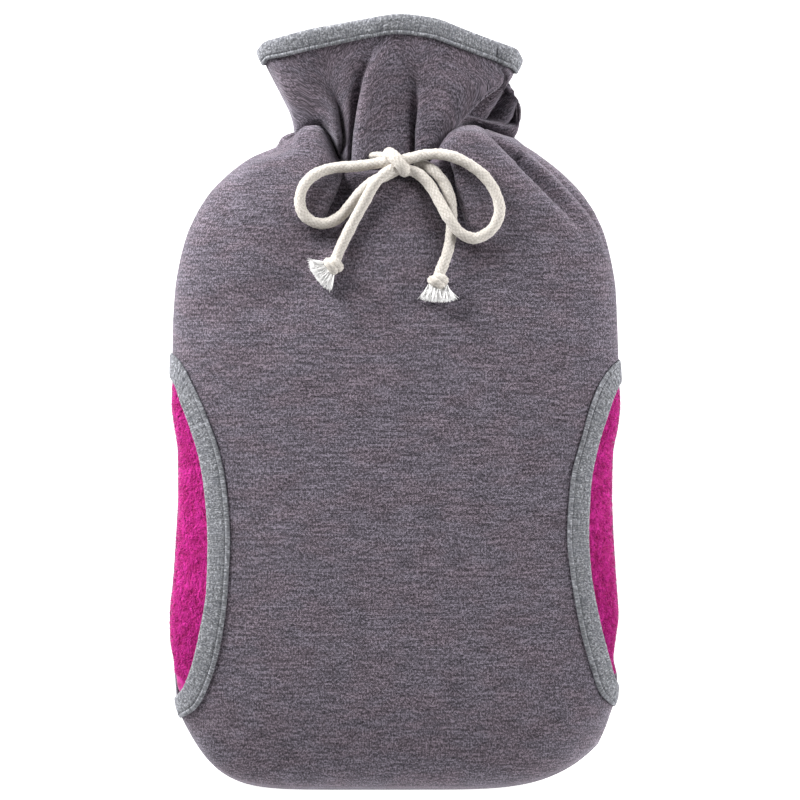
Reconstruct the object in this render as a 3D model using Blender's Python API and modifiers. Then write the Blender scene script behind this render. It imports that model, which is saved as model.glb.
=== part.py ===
"""Hot water bottle cover of sweat jersey, filled out as if by its bottle and lying on its back.

The collar points along +Y and the face looks up (+Z). Tables and shape functions work in
millimetres, and MM turns them into metres where meshes are made. A point of the cloth is named
by "across" (-1 at the left side seam, 0 in the middle, +1 at the right side seam) and by
"along" (how far up the middle of the cover its section crosses, from the bottom seam to the rim).
"""
import math

import bmesh
import bpy
import numpy as np
from mathutils import Matrix, Vector

MM = 0.001

# The part's origin in the tables' own millimetres: under the middle of the cover's box
ORIGIN = (-0.45, 190.04, 0.0)

# Lengths up the middle of the cover
COVER_LENGTH = 380.0
NECK_ALONG = 303.0
SHOULDER_ALONG = 288.0

# Cloths, from their outer faces inward
JERSEY_THICK = 1.5
PLUSH_THICK = 2.0
PLUSH_SINK = 3.5
PLUSH_LIFT = 0.3
TAPE_PROUD = 0.8
TAPE_UNDER = 2.1
EDGE_GAP = 0.4
SEAM_GAP = 1.0
COLLAR_TAPE_WIDTH = 8.0
SIDE_TAPE_WIDTH = 9.8
OPEN_STRIP = 0.16

# How the filled body rounds off
SIDE_POWER = 2.5
BACK_POWER = 3.4
BOTTOM_ROUND = 58.0
BACK_ROUND = 34.0
BACK_PRESS = 3.0
LEFT_CORNER_BEND = 7.0
RIGHT_CORNER_BEND = 4.3
SHOULDER_BEND = 2.2
BENDS_CHANGE_AT = 150.0

# Where the front of the collar turns under at its right
FLAP_ACROSS = 0.221
COLLAR_MIDDLE = 0.0
COLLAR_EMERGES = 9.0

# Drawcord
CORD_DIAMETER = 5.5
CORD_POINT_STEP = 5.6
ROUTE_SAMPLES = 24

# Routes of the cord's middle line over the cloth, from the bow knot outward and back
LEFT_LOOP = (
    (-4.8, 307.6, 45.2), (-11.0, 306.6, 43.4), (-19.5, 305.4, 42.2), (-30.0, 304.6, 42.8),
    (-38.5, 302.0, 45.6), (-44.6, 296.5, 47.8), (-47.0, 289.0, 48.9), (-45.3, 282.2, 49.3),
    (-40.0, 278.0, 48.6), (-33.4, 277.6, 46.9), (-27.0, 281.0, 45.7), (-21.6, 287.4, 45.6),
    (-15.6, 294.2, 46.6), (-10.0, 298.6, 47.0), (-5.4, 300.2, 46.8),
)
RIGHT_LOOP = (
    (9.4, 309.8, 46.0), (14.6, 311.0, 46.0), (22.0, 311.2, 47.2), (29.5, 309.4, 48.2),
    (37.0, 305.4, 48.0), (43.6, 300.0, 47.9), (48.6, 292.5, 48.3), (50.7, 283.8, 49.1),
    (48.0, 276.0, 49.8), (42.6, 271.4, 50.2), (37.0, 270.2, 51.7), (31.0, 273.2, 53.5),
    (26.0, 279.6, 53.5), (21.6, 287.4, 51.1), (17.0, 295.4, 48.4), (12.4, 300.6, 47.4),
    (8.6, 302.4, 46.8),
)
LEFT_TAIL = (
    (-4.8, 302.4, 52.6), (-8.0, 299.4, 52.9), (-11.4, 295.2, 52.6), (-15.0, 288.6, 51.2),
    (-20.5, 278.6, 50.2), (-25.4, 269.0, 50.5), (-28.4, 262.6, 51.2),
)
RIGHT_TAIL = (
    (9.6, 306.4, 40.4), (14.0, 305.6, 42.0), (19.0, 302.6, 44.9), (23.8, 296.6, 45.6),
    (26.7, 288.4, 46.6), (27.3, 280.0, 47.1), (27.0, 272.0, 48.5), (25.4, 263.8, 50.6),
    (23.2, 257.6, 51.9), (21.6, 253.6, 52.7),
)

# The lumps on the cord: middle and half sizes
BOW_KNOT = ((2.3, 306.3, 45.8), (6.3, 7.2, 5.4))
LEFT_END_KNOT = ((-30.9, 256.4, 52.4), (5.0, 5.4, 4.4))
RIGHT_END_KNOT = ((20.6, 248.6, 53.6), (6.0, 4.3, 4.3))

# The frayed ends: where each begins, its heading in degrees from +X, its two half widths, its length
LEFT_FRAY = ((-36.2, 253.4, 52.4), 207.0, 4.2, 9.2, 8.2)
RIGHT_FRAY = ((21.0, 243.7, 54.0), 276.0, 4.6, 8.0, 8.4)
FRAY_FLATNESS = 0.5


class Table:
    """Rows of named columns, read as smooth curves along the first column."""

    def __init__(self, names, *rows):
        self.names = names.split()
        self.rows = np.array(rows, float)

    def column(self, name):
        return self.rows[:, self.names.index(name)]

    def __call__(self, name, at):
        return smooth_curve(self.rows[:, 0], self.column(name), at)


def smooth_curve(xs, ys, at):
    """A cubic through the points that never overshoots them, held level past its ends."""
    step = np.diff(xs)
    slope = np.diff(ys) / step
    product = slope[:-1] * slope[1:]
    total = slope[:-1] + slope[1:]
    inner = np.where(product > 0, 2 * product / np.where(total == 0, 1, total), 0)
    tangent = np.concatenate([slope[:1], inner, slope[-1:]])
    at = np.clip(np.asarray(at, float), xs[0], xs[-1])
    i = np.clip(np.searchsorted(xs, at, side="right") - 1, 0, len(step) - 1)
    t = (at - xs[i]) / step[i]
    rise = t * t * (3 - 2 * t)
    leave = t * (1 - t) ** 2 * step[i]
    arrive = t * t * (t - 1) * step[i]
    return ys[i] * (1 - rise) + ys[i + 1] * rise + tangent[i] * leave + tangent[i + 1] * arrive


SECTIONS = Table(
    "along left_x left_y right_x right_y seam crown back",
    (0, -100.1, 26.3, 98.0, 22.8, 20.0, 47.0, 0.0),
    (4, -103.6, 32.5, 101.9, 30.5, 20.3, 47.0, 0.0),
    (10, -106.2, 38.5, 105.2, 37.5, 20.7, 47.0, 0.0),
    (18, -107.9, 46.0, 108.3, 47.0, 21.0, 47.2, 0.0),
    (30, -108.6, 55.0, 108.8, 55.0, 21.4, 47.6, 0.0),
    (45, -109.3, 64.0, 107.0, 65.0, 21.8, 48.2, 0.0),
    (60, -110.9, 73.0, 108.0, 74.0, 22.0, 49.0, 0.0),
    (80, -111.2, 85.0, 109.4, 86.0, 22.0, 49.8, 0.0),
    (105, -109.4, 105.0, 108.2, 105.0, 22.0, 50.3, 0.0),
    (125, -108.1, 125.0, 107.0, 125.0, 22.0, 50.6, 0.0),
    (145, -107.1, 145.0, 106.3, 145.0, 22.0, 50.8, 0.0),
    (165, -107.2, 165.0, 106.8, 165.0, 22.0, 50.8, 0.0),
    (178, -109.0, 178.0, 109.2, 178.0, 22.0, 50.7, 0.0),
    (188, -110.3, 188.0, 110.3, 188.0, 22.0, 50.6, 0.0),
    (205, -109.8, 205.0, 109.5, 205.0, 22.0, 50.4, 0.0),
    (225, -109.6, 225.0, 108.8, 225.0, 22.0, 50.0, 0.0),
    (245, -108.4, 245.0, 107.9, 245.0, 21.8, 49.3, 0.0),
    (262, -105.8, 260.5, 105.4, 260.5, 21.5, 48.4, 0.0),
    (276, -102.4, 272.5, 102.2, 272.5, 21.2, 47.4, 0.6),
    (288, -97.8, 282.5, 97.8, 282.5, 20.9, 46.6, 3.0),
    (292, -91.8, 292.0, 91.4, 292.0, 20.7, 46.2, 4.4),
    (296, -82.6, 301.5, 82.0, 301.8, 20.5, 45.6, 5.8),
    (299.5, -70.0, 310.6, 70.4, 311.0, 20.3, 45.0, 7.2),
    (301.6, -58.5, 316.0, 62.0, 316.6, 20.1, 44.4, 8.2),
    (303, -50.0, 322.5, 58.0, 319.5, 20.0, 44.0, 9.0),
)

# The line at which the drawcord cinches the neck, and how far below it the cloth rolls over
GATHER = Table(
    "side y valley roll",
    (-1.00, 322.5, 20.0, 3.0),
    (-0.89, 324.6, 25.0, 4.0),
    (-0.78, 324.0, 26.0, 6.0),
    (-0.70, 321.5, 26.0, 6.0),
    (-0.65, 317.0, 25.0, 6.0),
    (-0.60, 310.5, 24.5, 7.0),
    (-0.54, 306.0, 28.0, 9.0),
    (-0.46, 304.0, 32.5, 12.0),
    (-0.25, 303.4, 34.5, 14.0),
    (-0.03, 303.0, 35.0, 14.0),
    (0.07, 303.2, 34.0, 14.0),
    (0.153, 304.2, 34.0, 12.0),
    (0.284, 308.0, 31.5, 10.0),
    (0.34, 313.5, 28.5, 9.0),
    (0.414, 320.0, 26.5, 7.0),
    (0.526, 323.6, 26.0, 6.0),
    (0.637, 324.5, 25.5, 6.0),
    (0.767, 322.5, 24.5, 5.0),
    (0.90, 320.6, 22.5, 4.0),
    (1.00, 319.5, 20.0, 3.0),
)

# The collar above that line, from 0 at the line to 1 at the rim
COLLAR = Table(
    "rise left slot step valley flap right seam crest flap_z back turn",
    (0.00, -50.0, -28.6, -19.8, 9.6, 22.1, 58.0, 20.0, 36.0, 28.0, 9.0, 0.0),
    (0.10, -50.6, -28.6, -19.5, 9.8, 25.5, 60.0, 20.4, 36.6, 31.5, 8.7, 0.1),
    (0.22, -52.0, -28.8, -19.0, 10.2, 30.0, 60.8, 20.8, 37.4, 33.6, 8.2, 0.9),
    (0.45, -56.5, -30.4, -16.8, 10.8, 41.0, 60.4, 21.4, 39.0, 35.0, 7.0, 1.0),
    (0.65, -60.7, -32.6, -14.0, 9.8, 52.4, 54.8, 21.8, 40.6, 34.5, 6.0, 0.7),
    (0.76, -63.0, -33.8, -12.0, 9.4, 49.5, 57.0, 22.0, 41.6, 35.0, 5.3, 0.0),
    (1.00, -67.0, -36.0, -8.0, 13.0, 50.0, 61.0, 22.0, 43.5, 36.0, 4.0, 0.0),
)
ANCHORS = (("left", -1.0), ("slot", -0.410), ("step", -0.285), ("valley", 0.066), ("flap", FLAP_ACROSS))

RIM = Table(
    "x y",
    (-67.0, 361.5),
    (-64.5, 365.6),
    (-58.0, 368.4),
    (-42.0, 372.6),
    (-28.0, 375.2),
    (-15.0, 377.6),
    (2.0, 380.0),
    (19.0, 378.0),
    (31.5, 373.4),
    (42.0, 369.4),
    (54.0, 365.0),
    (59.0, 363.0),
    (61.0, 359.5),
)

# The S-shaped turn of the collar behind its right flap: how far each place stands off the
# flap's edge (out, drop), and its share of the way to the right seam
TURN = Table(
    "way out drop share",
    (0.00, 0.0, 0.0, 0.00),
    (0.05, 0.8, 0.9, 0.00),
    (0.10, 0.6, 2.7, 0.00),
    (0.17, -1.5, 4.8, 0.00),
    (0.25, -4.6, 6.2, 0.00),
    (0.32, -3.8, 8.2, 0.02),
    (0.42, -1.6, 9.2, 0.12),
    (0.58, 0.0, 9.2, 0.42),
    (0.78, 0.0, 9.0, 0.84),
    (0.92, 0.0, 9.0, 0.985),
    (1.00, 0.0, 9.2, 1.00),
)

# Main folds as soft troughs (depth > 0) and crests (depth < 0), each along its own line
FOLD_COLUMNS = "x y depth width"
BODY_FOLDS = {
    "left hollow": ((-13, 304, 4, 4.5), (-21, 293, 8, 5.5), (-31, 277, 5.5, 8), (-52, 240, 1.2, 17)),
    "right hollow": ((14, 305, 4, 4), (22, 294, 8, 5), (27, 281, 6.5, 5.5), (38, 259, 2.2, 13)),
    "shoulder crest": ((45, 320, -2.4, 4), (60, 296, -2.4, 5), (74, 281, -1.8, 7), (91, 263, -0.3, 10)),
    "shoulder valley": ((51, 320, 3.6, 3), (65, 299, 3.4, 4), (80, 282, 1.8, 6), (94, 266, 0.3, 9)),
    "outer shoulder crest": ((63, 314, -1.4, 3), (79, 299, -1.4, 3.5), (95, 281, -0.6, 6)),
    "outer shoulder valley": ((67, 315, 2.2, 2.5), (83, 300, 2.2, 3), (98, 283, 0.8, 5)),
    "left knob crease": ((-50, 323, 2.6, 2.2), (-53, 316, 1.6, 2.6), (-55, 309, 0.3, 3)),
}
COLLAR_FOLDS = {
    "slot": ((-28.5, 311, 7.5, 3.0), (-28.8, 325, 8.0, 3.2), (-31, 340, 5.0, 5), (-34, 357, 1.2, 9)),
    "step trough": ((-20.8, 306, 3.6, 2.3), (-19.6, 325, 4.2, 2.3), (-16.4, 345, 3.0, 3), (-11, 362, 0.4, 5)),
    "step crest": ((-16.8, 306, -2.2, 3), (-15.6, 325, -2.4, 3.5), (-12.2, 345, -2.0, 4), (-7, 362, -0.4, 6)),
    "middle trough": ((10, 305, 4.0, 2.5), (10.6, 325, 3.8, 2.8), (10.8, 340, 2.4, 4), (9, 354, 0.4, 7)),
    "middle crest": ((14, 306, -2, 2.6), (14.8, 325, -2.4, 3.2), (15.8, 340, -2, 5), (17, 353, -0.4, 8)),
}
REAR_FOLDS = {
    "first crest": ((36, 320, -2.0, 2.6), (50, 343, -2.0, 2.6)),
    "first valley": ((40, 320, 2.6, 2.2), (52, 341, 1.2, 2.2)),
    "second crest": ((47, 320, -2.0, 2.6), (59, 337, -1.6, 2.6)),
    "second valley": ((51.5, 319, 2.2, 2.0), (58, 330, 0.8, 1.8)),
}

# Folds of the back, gathered under the drawcord
BACK_GATHERS = Table(
    "across depth",
    (-0.62, 3.2),
    (-0.41, 2.6),
    (-0.20, 3.4),
    (0.03, 2.8),
    (0.25, 3.6),
    (0.44, 2.4),
    (0.66, 3.0),
)
BACK_FOLD_WIDTH = 0.055
BACK_FOLD_REACH = 46.0
BACK_NECK_Y = 314.0
BACK_RIM_Y = 376.0

# The bound cut-away edges: outer fold of the tape, then its inner edge beside it
LEFT_CUTAWAY = Table(
    "order outer_x outer_y inner_x inner_y",
    (0, -112.0, 205.0, -112.0, 216.0),
    (1, -107.3, 198.0, -105.2, 209.0),
    (2, -105.0, 190.5, -99.4, 198.0),
    (3, -100.0, 177.0, -91.9, 180.5),
    (4, -95.6, 162.0, -86.7, 165.0),
    (5, -93.0, 145.5, -83.4, 147.0),
    (6, -91.5, 122.5, -81.7, 122.5),
    (7, -92.0, 100.0, -82.7, 100.0),
    (8, -95.2, 79.0, -85.6, 75.5),
    (9, -100.0, 59.0, -91.4, 53.5),
    (10, -104.7, 48.5, -98.2, 40.5),
    (11, -112.0, 42.0, -112.0, 33.0),
)
RIGHT_CUTAWAY = Table(
    "order outer_x outer_y inner_x inner_y",
    (0, 112.0, 203.0, 112.0, 213.0),
    (1, 108.0, 197.0, 104.6, 206.0),
    (2, 106.0, 192.0, 99.6, 198.0),
    (3, 103.0, 183.0, 95.6, 188.0),
    (4, 99.0, 170.5, 91.7, 174.0),
    (5, 94.8, 148.5, 85.9, 150.5),
    (6, 93.8, 125.0, 84.3, 125.0),
    (7, 94.8, 108.0, 85.9, 107.5),
    (8, 99.0, 84.0, 90.2, 82.0),
    (9, 104.2, 64.0, 95.8, 60.5),
    (10, 107.0, 54.0, 100.6, 47.5),
    (11, 112.0, 47.0, 112.0, 38.0),
)

# Grids of the open cloths
FRONT_COLUMNS = 34
BACK_COLUMNS = 16
PLUSH_COLUMNS = 20
BODY_ROWS = (0, 1.5, 4, 8, 14, 22, 32, 45, 62, 84, 108, 132, 158, 178, 190, 198, 204, 209, 213,
             226, 242, 258, 271, 281, 288, 293, 297, 299.8, 301.6, 302.6, 303)
LEFT_TAPE_ROWS = BODY_ROWS[3:19]
RIGHT_TAPE_ROWS = BODY_ROWS[4:18]
COLLAR_ROWS = (0.04, 0.10, 0.17, 0.26, 0.36, 0.46, 0.56, 0.66, 0.76)
LAST_ROW_GAP = 2.0
SEAM_CROWDING = 6.0
CUTAWAY_SAMPLES = 80
BACK_ROWS = (0, 1.5, 4, 8, 14, 22, 32, 60, 108, 158, 204, 242, 264, 276, 285, 292, 299, 303)
BACK_COLLAR_ROWS = (0.12, 0.28, 0.46, 0.66)
PLUSH_ROWS = (4, 8, 14, 22, 32, 45, 62, 84, 108, 132, 158, 178, 190, 198, 204, 209, 216)


def side_of(across):
    """Sideways place in a section, -1 to 1, with sections read closer together near the seams."""
    return np.sin(0.5 * math.pi * across)


def quarter_round(t):
    """Rises like a quarter circle from 0 to 1 and stays there."""
    return np.sqrt(np.clip(1 - (1 - np.clip(t, 0, 1)) ** 2, 0, 1))


def soft_step(t):
    t = np.clip(t, 0, 1)
    return t * t * (3 - 2 * t)


def dome(side, power):
    """Height of a section with rounded sides, 1 in its middle and 0 at its seams."""
    return np.clip(1 - np.abs(side) ** power, 0, 1) ** (1 / power)


def fold_height(folds, x, y):
    """Sum of the named folds at (x, y), each fading with the distance from its own line."""
    total = np.zeros_like(x)
    for line in folds.values():
        nearest = np.full_like(x, 1e9)
        height = np.zeros_like(x)
        for (x0, y0, depth0, width0), (x1, y1, depth1, width1) in zip(line, line[1:]):
            run = (x1 - x0) ** 2 + (y1 - y0) ** 2
            t = np.clip(((x - x0) * (x1 - x0) + (y - y0) * (y1 - y0)) / run, 0, 1)
            away = np.hypot(x - x0 - t * (x1 - x0), y - y0 - t * (y1 - y0))
            depth = depth0 + (depth1 - depth0) * t
            width = width0 + (width1 - width0) * t
            height = np.where(away < nearest, -depth * np.exp(-(away / width) ** 2), height)
            nearest = np.minimum(nearest, away)
        total += height
    return total


def outline(side, along):
    """Plan position of a body section's point, before the neck line pulls it."""
    left = SECTIONS("left_x", along)
    right = SECTIONS("right_x", along)
    x = 0.5 * (left + right) + 0.5 * (right - left) * side
    end_y = np.where(side < 0, SECTIONS("left_y", along), SECTIONS("right_y", along))
    corner = np.where(side < 0, LEFT_CORNER_BEND, RIGHT_CORNER_BEND)
    bend = np.where(along < BENDS_CHANGE_AT, corner, SHOULDER_BEND)
    return x, end_y, np.abs(side) ** bend


def neck_pull(along):
    return np.clip((along - SHOULDER_ALONG) / (NECK_ALONG - SHOULDER_ALONG), 0, 1)


def front_body(across, along):
    side = side_of(across)
    x, end_y, bow = outline(side, along)
    neck_y = GATHER("y", side)
    neck_end = np.where(side < 0, GATHER("y", -1.0), GATHER("y", 1.0))
    neck_bow = (neck_y - NECK_ALONG) / (neck_end - NECK_ALONG)
    pull = neck_pull(along)
    y = along + (end_y - along) * ((1 - pull) * bow + pull * neck_bow)
    seam = SECTIONS("seam", along)
    crown = SECTIONS("crown", along)
    rounding = dome(1 - np.clip(along / BOTTOM_ROUND, 0, 1), SIDE_POWER)
    swell = dome(side, SIDE_POWER)
    z = seam + (crown - seam) * rounding * swell
    z = z + fold_height(BODY_FOLDS, x, y) * np.clip(1.6 * swell, 0, 1)
    valley = GATHER("valley", side)
    z = valley + (z - valley) * quarter_round((neck_y - y) / GATHER("roll", side))
    return np.stack([x, y, z], -1)


def collar_width(across, rise):
    """Sideways place at the neck line, and in the collar as the named fold columns carry it."""
    at_neck, _, _ = outline(side_of(across), np.full_like(across, NECK_ALONG))
    shift = np.zeros_like(across)
    for (name, place), (next_name, next_place) in zip(ANCHORS, ANCHORS[1:]):
        t = (across - place) / (next_place - place)
        spread = COLLAR(name, rise) - COLLAR(name, 0.0)
        next_spread = COLLAR(next_name, rise) - COLLAR(next_name, 0.0)
        shift = np.where((t >= 0) & (t <= 1), spread * (1 - t) + next_spread * t, shift)
    return at_neck, at_neck + shift


def front_collar(across, rise):
    side = side_of(across)
    at_neck, x = collar_width(across, rise)
    left = COLLAR("left", rise)
    right = COLLAR("right", rise)
    flap = COLLAR("flap", rise)
    seam = COLLAR("seam", rise)
    crest = COLLAR("crest", rise)
    flap_z = COLLAR("flap_z", rise)
    to_left = np.clip((x - COLLAR_MIDDLE) / (left - COLLAR_MIDDLE), 0, 1)
    to_flap = np.clip((x - COLLAR_MIDDLE) / (flap - COLLAR_MIDDLE), 0, 1)
    z = np.where(x < COLLAR_MIDDLE, seam + (crest - seam) * dome(to_left, SIDE_POWER),
                 flap_z + (crest - flap_z) * (1 - to_flap ** 2))
    # behind the flap: a plain turn to the seam, or the S-shaped turn of the rear folds
    way = np.clip((across - FLAP_ACROSS) / (1 - FLAP_ACROSS), 0, 1)
    flap_neck, _, _ = outline(side_of(np.full_like(across, FLAP_ACROSS)), np.full_like(across, NECK_ALONG))
    right_neck, _, _ = outline(np.ones_like(across), np.full_like(across, NECK_ALONG))
    share = np.clip((at_neck - flap_neck) / (right_neck - flap_neck), 0, 1)
    plain_x = flap + (right - flap) * share
    plain_z = seam + (flap_z - seam) * dome(share, SIDE_POWER)
    turn_x = flap + TURN("out", way) + (right - flap) * TURN("share", way)
    last = 1 - quarter_round((1 - way) / 0.14)
    turn_z = (flap_z - TURN("drop", way)) * (1 - last) + seam * last
    turn = COLLAR("turn", rise)
    behind = across > FLAP_ACROSS
    x = np.where(behind, plain_x + (turn_x - plain_x) * turn, x)
    z = np.where(behind, plain_z + (turn_z - plain_z) * turn, z)
    neck_y = GATHER("y", side)
    rim_y = RIM("y", rim_place(across))
    y = neck_y + (rim_y - neck_y) * rise
    fold = fold_height(COLLAR_FOLDS, x, y) * np.clip(2.5 * dome(to_left, SIDE_POWER), 0, 1)
    rear = fold_height(REAR_FOLDS, x, y) * soft_step((way - 0.3) / 0.2) * soft_step((1 - way) / 0.1)
    z = z + np.where(behind, rear * turn, fold * soft_step((FLAP_ACROSS - across) / 0.02))
    valley = GATHER("valley", side)
    z = valley + (z - valley) * quarter_round((y - neck_y) / COLLAR_EMERGES)
    return np.stack([x, y, z], -1)


def rim_place(across):
    """Where along the rim (x) a column of the collar ends."""
    at_neck, x = collar_width(across, np.ones_like(across))
    flap = COLLAR("flap", 1.0)
    right = COLLAR("right", 1.0)
    way = np.clip((side_of(across) - side_of(FLAP_ACROSS)) / (1 - side_of(FLAP_ACROSS)), 0, 1)
    return np.where(across > FLAP_ACROSS, flap + (right - flap) * way, x)


def rise_of(along):
    return np.clip((along - NECK_ALONG) / (COVER_LENGTH - NECK_ALONG), 0, 1)


def front_point(across, along):
    """The outer face of the front, body and collar."""
    across, along = np.broadcast_arrays(np.asarray(across, float), np.asarray(along, float))
    body = front_body(across, np.minimum(along, NECK_ALONG))
    collar = front_collar(across, rise_of(along))
    return np.where((along <= NECK_ALONG)[..., None], body, collar)


def back_point(across, along):
    """The outer face of the back, flat where it lies on the surface."""
    across, along = np.broadcast_arrays(np.asarray(across, float), np.asarray(along, float))
    side = side_of(across)
    x, end_y, bow = outline(side, np.minimum(along, NECK_ALONG))
    neck_end = np.where(side < 0, GATHER("y", -1.0), GATHER("y", 1.0))
    neck_y = BACK_NECK_Y + (neck_end - BACK_NECK_Y) * side ** 2
    neck_bow = (neck_y - NECK_ALONG) / (neck_end - NECK_ALONG)
    pull = neck_pull(along)
    body_along = np.minimum(along, NECK_ALONG)
    y = body_along + (end_y - body_along) * ((1 - pull) * bow + pull * neck_bow)
    rise = rise_of(along)
    left = COLLAR("left", rise)
    right = COLLAR("right", rise)
    in_collar = along > NECK_ALONG
    x = np.where(in_collar, 0.5 * (left + right) + 0.5 * (right - left) * side, x)
    tip_y = np.where(side < 0, RIM("y", -67.0), RIM("y", 61.0))
    rim_y = BACK_RIM_Y + (tip_y - BACK_RIM_Y) * np.abs(side) ** 2.5
    y = np.where(in_collar, neck_y + (rim_y - neck_y) * rise, y)
    seam = np.where(in_collar, COLLAR("seam", rise), SECTIONS("seam", body_along))
    base = np.where(in_collar, COLLAR("back", rise), SECTIONS("back", body_along))
    rounding = dome(1 - np.clip(along / BACK_ROUND, 0, 1), SIDE_POWER)
    z = seam - (seam - base + BACK_PRESS) * rounding * dome(side, BACK_POWER)
    nearness = np.exp(-((along - NECK_ALONG) / BACK_FOLD_REACH) ** 2) * dome(side, SIDE_POWER)
    for place, depth in BACK_GATHERS.rows:
        z = z + depth * nearness * np.exp(-((across - place) / BACK_FOLD_WIDTH) ** 2) * (along > 240)
    return np.stack([x, y, np.maximum(z, base)], -1)


def outward(surface, across, along, facing):
    """Unit normals of a surface, pointing out of the cover."""
    step_across = 0.004
    step_along = 0.15
    low_across = np.clip(across - step_across, -1, 1)
    high_across = np.clip(across + step_across, -1, 1)
    low_along = np.clip(along - step_along, 0, COVER_LENGTH)
    high_along = np.clip(along + step_along, 0, COVER_LENGTH)
    sideways = surface(high_across, along) - surface(low_across, along)
    lengthways = surface(across, high_along) - surface(across, low_along)
    normal = np.cross(sideways, lengthways) * facing
    return normal / np.maximum(np.linalg.norm(normal, axis=-1, keepdims=True), 1e-9)


def raised(surface, across, along, height, facing=1):
    """A point at a height above a surface's outer face."""
    across, along = np.broadcast_arrays(np.asarray(across, float), np.asarray(along, float))
    return surface(across, along) + outward(surface, across, along, facing) * np.asarray(height)[..., None]


def find_on_body(x, y):
    """The (across, along) of a plan position on the body."""
    along = np.array(y, float)
    for _ in range(40):
        left = SECTIONS("left_x", along)
        right = SECTIONS("right_x", along)
        side = np.clip((x - 0.5 * (left + right)) / (0.5 * (right - left)), -1, 1)
        _, end_y, bow = outline(side, along)
        along = np.clip(along + 0.7 * (y - (along + (end_y - along) * bow)), 0, NECK_ALONG)
    return 2 / math.pi * np.arcsin(side), along


def cutaway_line(table, edge, along):
    """Across of a cut-away's outer fold or inner edge at each section, at the seam beyond it."""
    order = np.linspace(table.rows[0, 0], table.rows[-1, 0], CUTAWAY_SAMPLES)
    across, at = find_on_body(table(edge + "_x", order), table(edge + "_y", order))
    upward = np.argsort(at)
    seam = np.sign(across[0])
    return np.interp(along, at[upward], across[upward], left=seam, right=seam)


def metres(points):
    """Places in the tables' millimetres as metres from the part's origin."""
    return (np.asarray(points, float) - ORIGIN) * MM


def new_material(name, color, roughness):
    material = bpy.data.materials.new(name)
    material.use_nodes = True
    shader = material.node_tree.nodes["Principled BSDF"]
    shader.inputs["Base Color"].default_value = (*color, 1)
    shader.inputs["Roughness"].default_value = roughness
    shader.inputs["Metallic"].default_value = 0
    return material


def add_object(name, mesh, material):
    thing = bpy.data.objects.new(name, mesh)
    mesh.materials.append(material)
    cover.objects.link(thing)
    return thing


def cloth_sheet(name, points, thickness, material):
    """A sheet lofted through rows of points on its outer face, thickened inward."""
    rows, columns, _ = points.shape
    bm = bmesh.new()
    grid = [[bm.verts.new(point) for point in row] for row in metres(points)]
    for r in range(rows - 1):
        for c in range(columns - 1):
            bm.faces.new((grid[r][c], grid[r][c + 1], grid[r + 1][c + 1], grid[r + 1][c]))
    mesh = bpy.data.meshes.new(name)
    bm.to_mesh(mesh)
    bm.free()
    mesh.shade_smooth()
    sheet = add_object(name, mesh, material)
    solidify = sheet.modifiers.new("thickness", "SOLIDIFY")
    solidify.thickness = thickness * MM
    solidify.offset = -1
    return sheet


def folded_tape(name, loops, closed, material):
    """A tape folded over an edge: equal loops of points joined station by station."""
    stations, around, _ = loops.shape
    bm = bmesh.new()
    rings = [[bm.verts.new(point) for point in loop] for loop in metres(loops)]
    last = stations if closed else stations - 1
    for k in range(last):
        one = rings[k]
        two = rings[(k + 1) % stations]
        for i in range(around):
            j = (i + 1) % around
            bm.faces.new((one[i], one[j], two[j], two[i]))
    if not closed:
        bm.faces.new(rings[0][::-1])
        bm.faces.new(rings[-1])
    bmesh.ops.recalc_face_normals(bm, faces=bm.faces)
    mesh = bpy.data.meshes.new(name)
    bm.to_mesh(mesh)
    bm.free()
    return add_object(name, mesh, material)


def tape_section(width):
    """A folded tape's section as (inward, height) pairs, round at its outer fold."""
    middle = 0.5 * (TAPE_PROUD - TAPE_UNDER)
    reach = TAPE_PROUD - middle
    return ((width, TAPE_PROUD), (reach, TAPE_PROUD), (0.3 * reach, middle + 0.72 * reach), (0.0, middle),
            (0.3 * reach, middle - 0.72 * reach), (reach, -TAPE_UNDER), (width, -TAPE_UNDER))


def side_tape(name, table, rows, material):
    """The tape on a cut-away's edge, section by section from its outer fold to its inner edge."""
    along = np.array(rows, float)
    outer = cutaway_line(table, "outer", along)
    inner = cutaway_line(table, "inner", along)
    loops = []
    for inward, height in tape_section(SIDE_TAPE_WIDTH):
        across = outer + (inner - outer) * inward / SIDE_TAPE_WIDTH
        loop = raised(front_point, across, along, np.full_like(along, height))
        loop[:, 2] = np.maximum(loop[:, 2], SECTIONS("seam", along)) + 0.5 * SEAM_GAP
        loops.append(loop)
    return folded_tape(name, np.stack(loops, 1), False, material)


def along_from_rim(surface, across, inward):
    """The along of places a distance in from the rim."""
    lengths = surface(across, COVER_LENGTH)[..., 1] - surface(across, NECK_ALONG + 0.01)[..., 1]
    return COVER_LENGTH - inward * (COVER_LENGTH - NECK_ALONG) / lengths


def rim_tape(name, material):
    """The tape around the collar's mouth, over the front from left to right and back below."""
    front_across = np.linspace(-1, 1, FRONT_COLUMNS)
    back_across = np.linspace(1, -1, BACK_COLUMNS)[1:-1]
    loops = []
    for inward, height in tape_section(COLLAR_TAPE_WIDTH):
        ring = []
        for surface, across, facing in ((front_point, front_across, 1), (back_point, back_across, -1)):
            along = along_from_rim(surface, across, inward)
            ring.append(raised(surface, across, along, np.full_like(across, height), facing))
        loops.append(np.concatenate(ring))
    return folded_tape(name, np.stack(loops, 1), True, material)


def collar_rows(surface, across, rises):
    """Rows of along up the collar, the last one just short of the rim's tape."""
    end = along_from_rim(surface, across, COLLAR_TAPE_WIDTH + EDGE_GAP)
    rises = np.array([*rises, 1.0])[:, None]
    level = NECK_ALONG + rises * (COVER_LENGTH - NECK_ALONG)
    return np.where(rises < 1, np.minimum(level, end - (1 - rises) * LAST_ROW_GAP), end)


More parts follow.
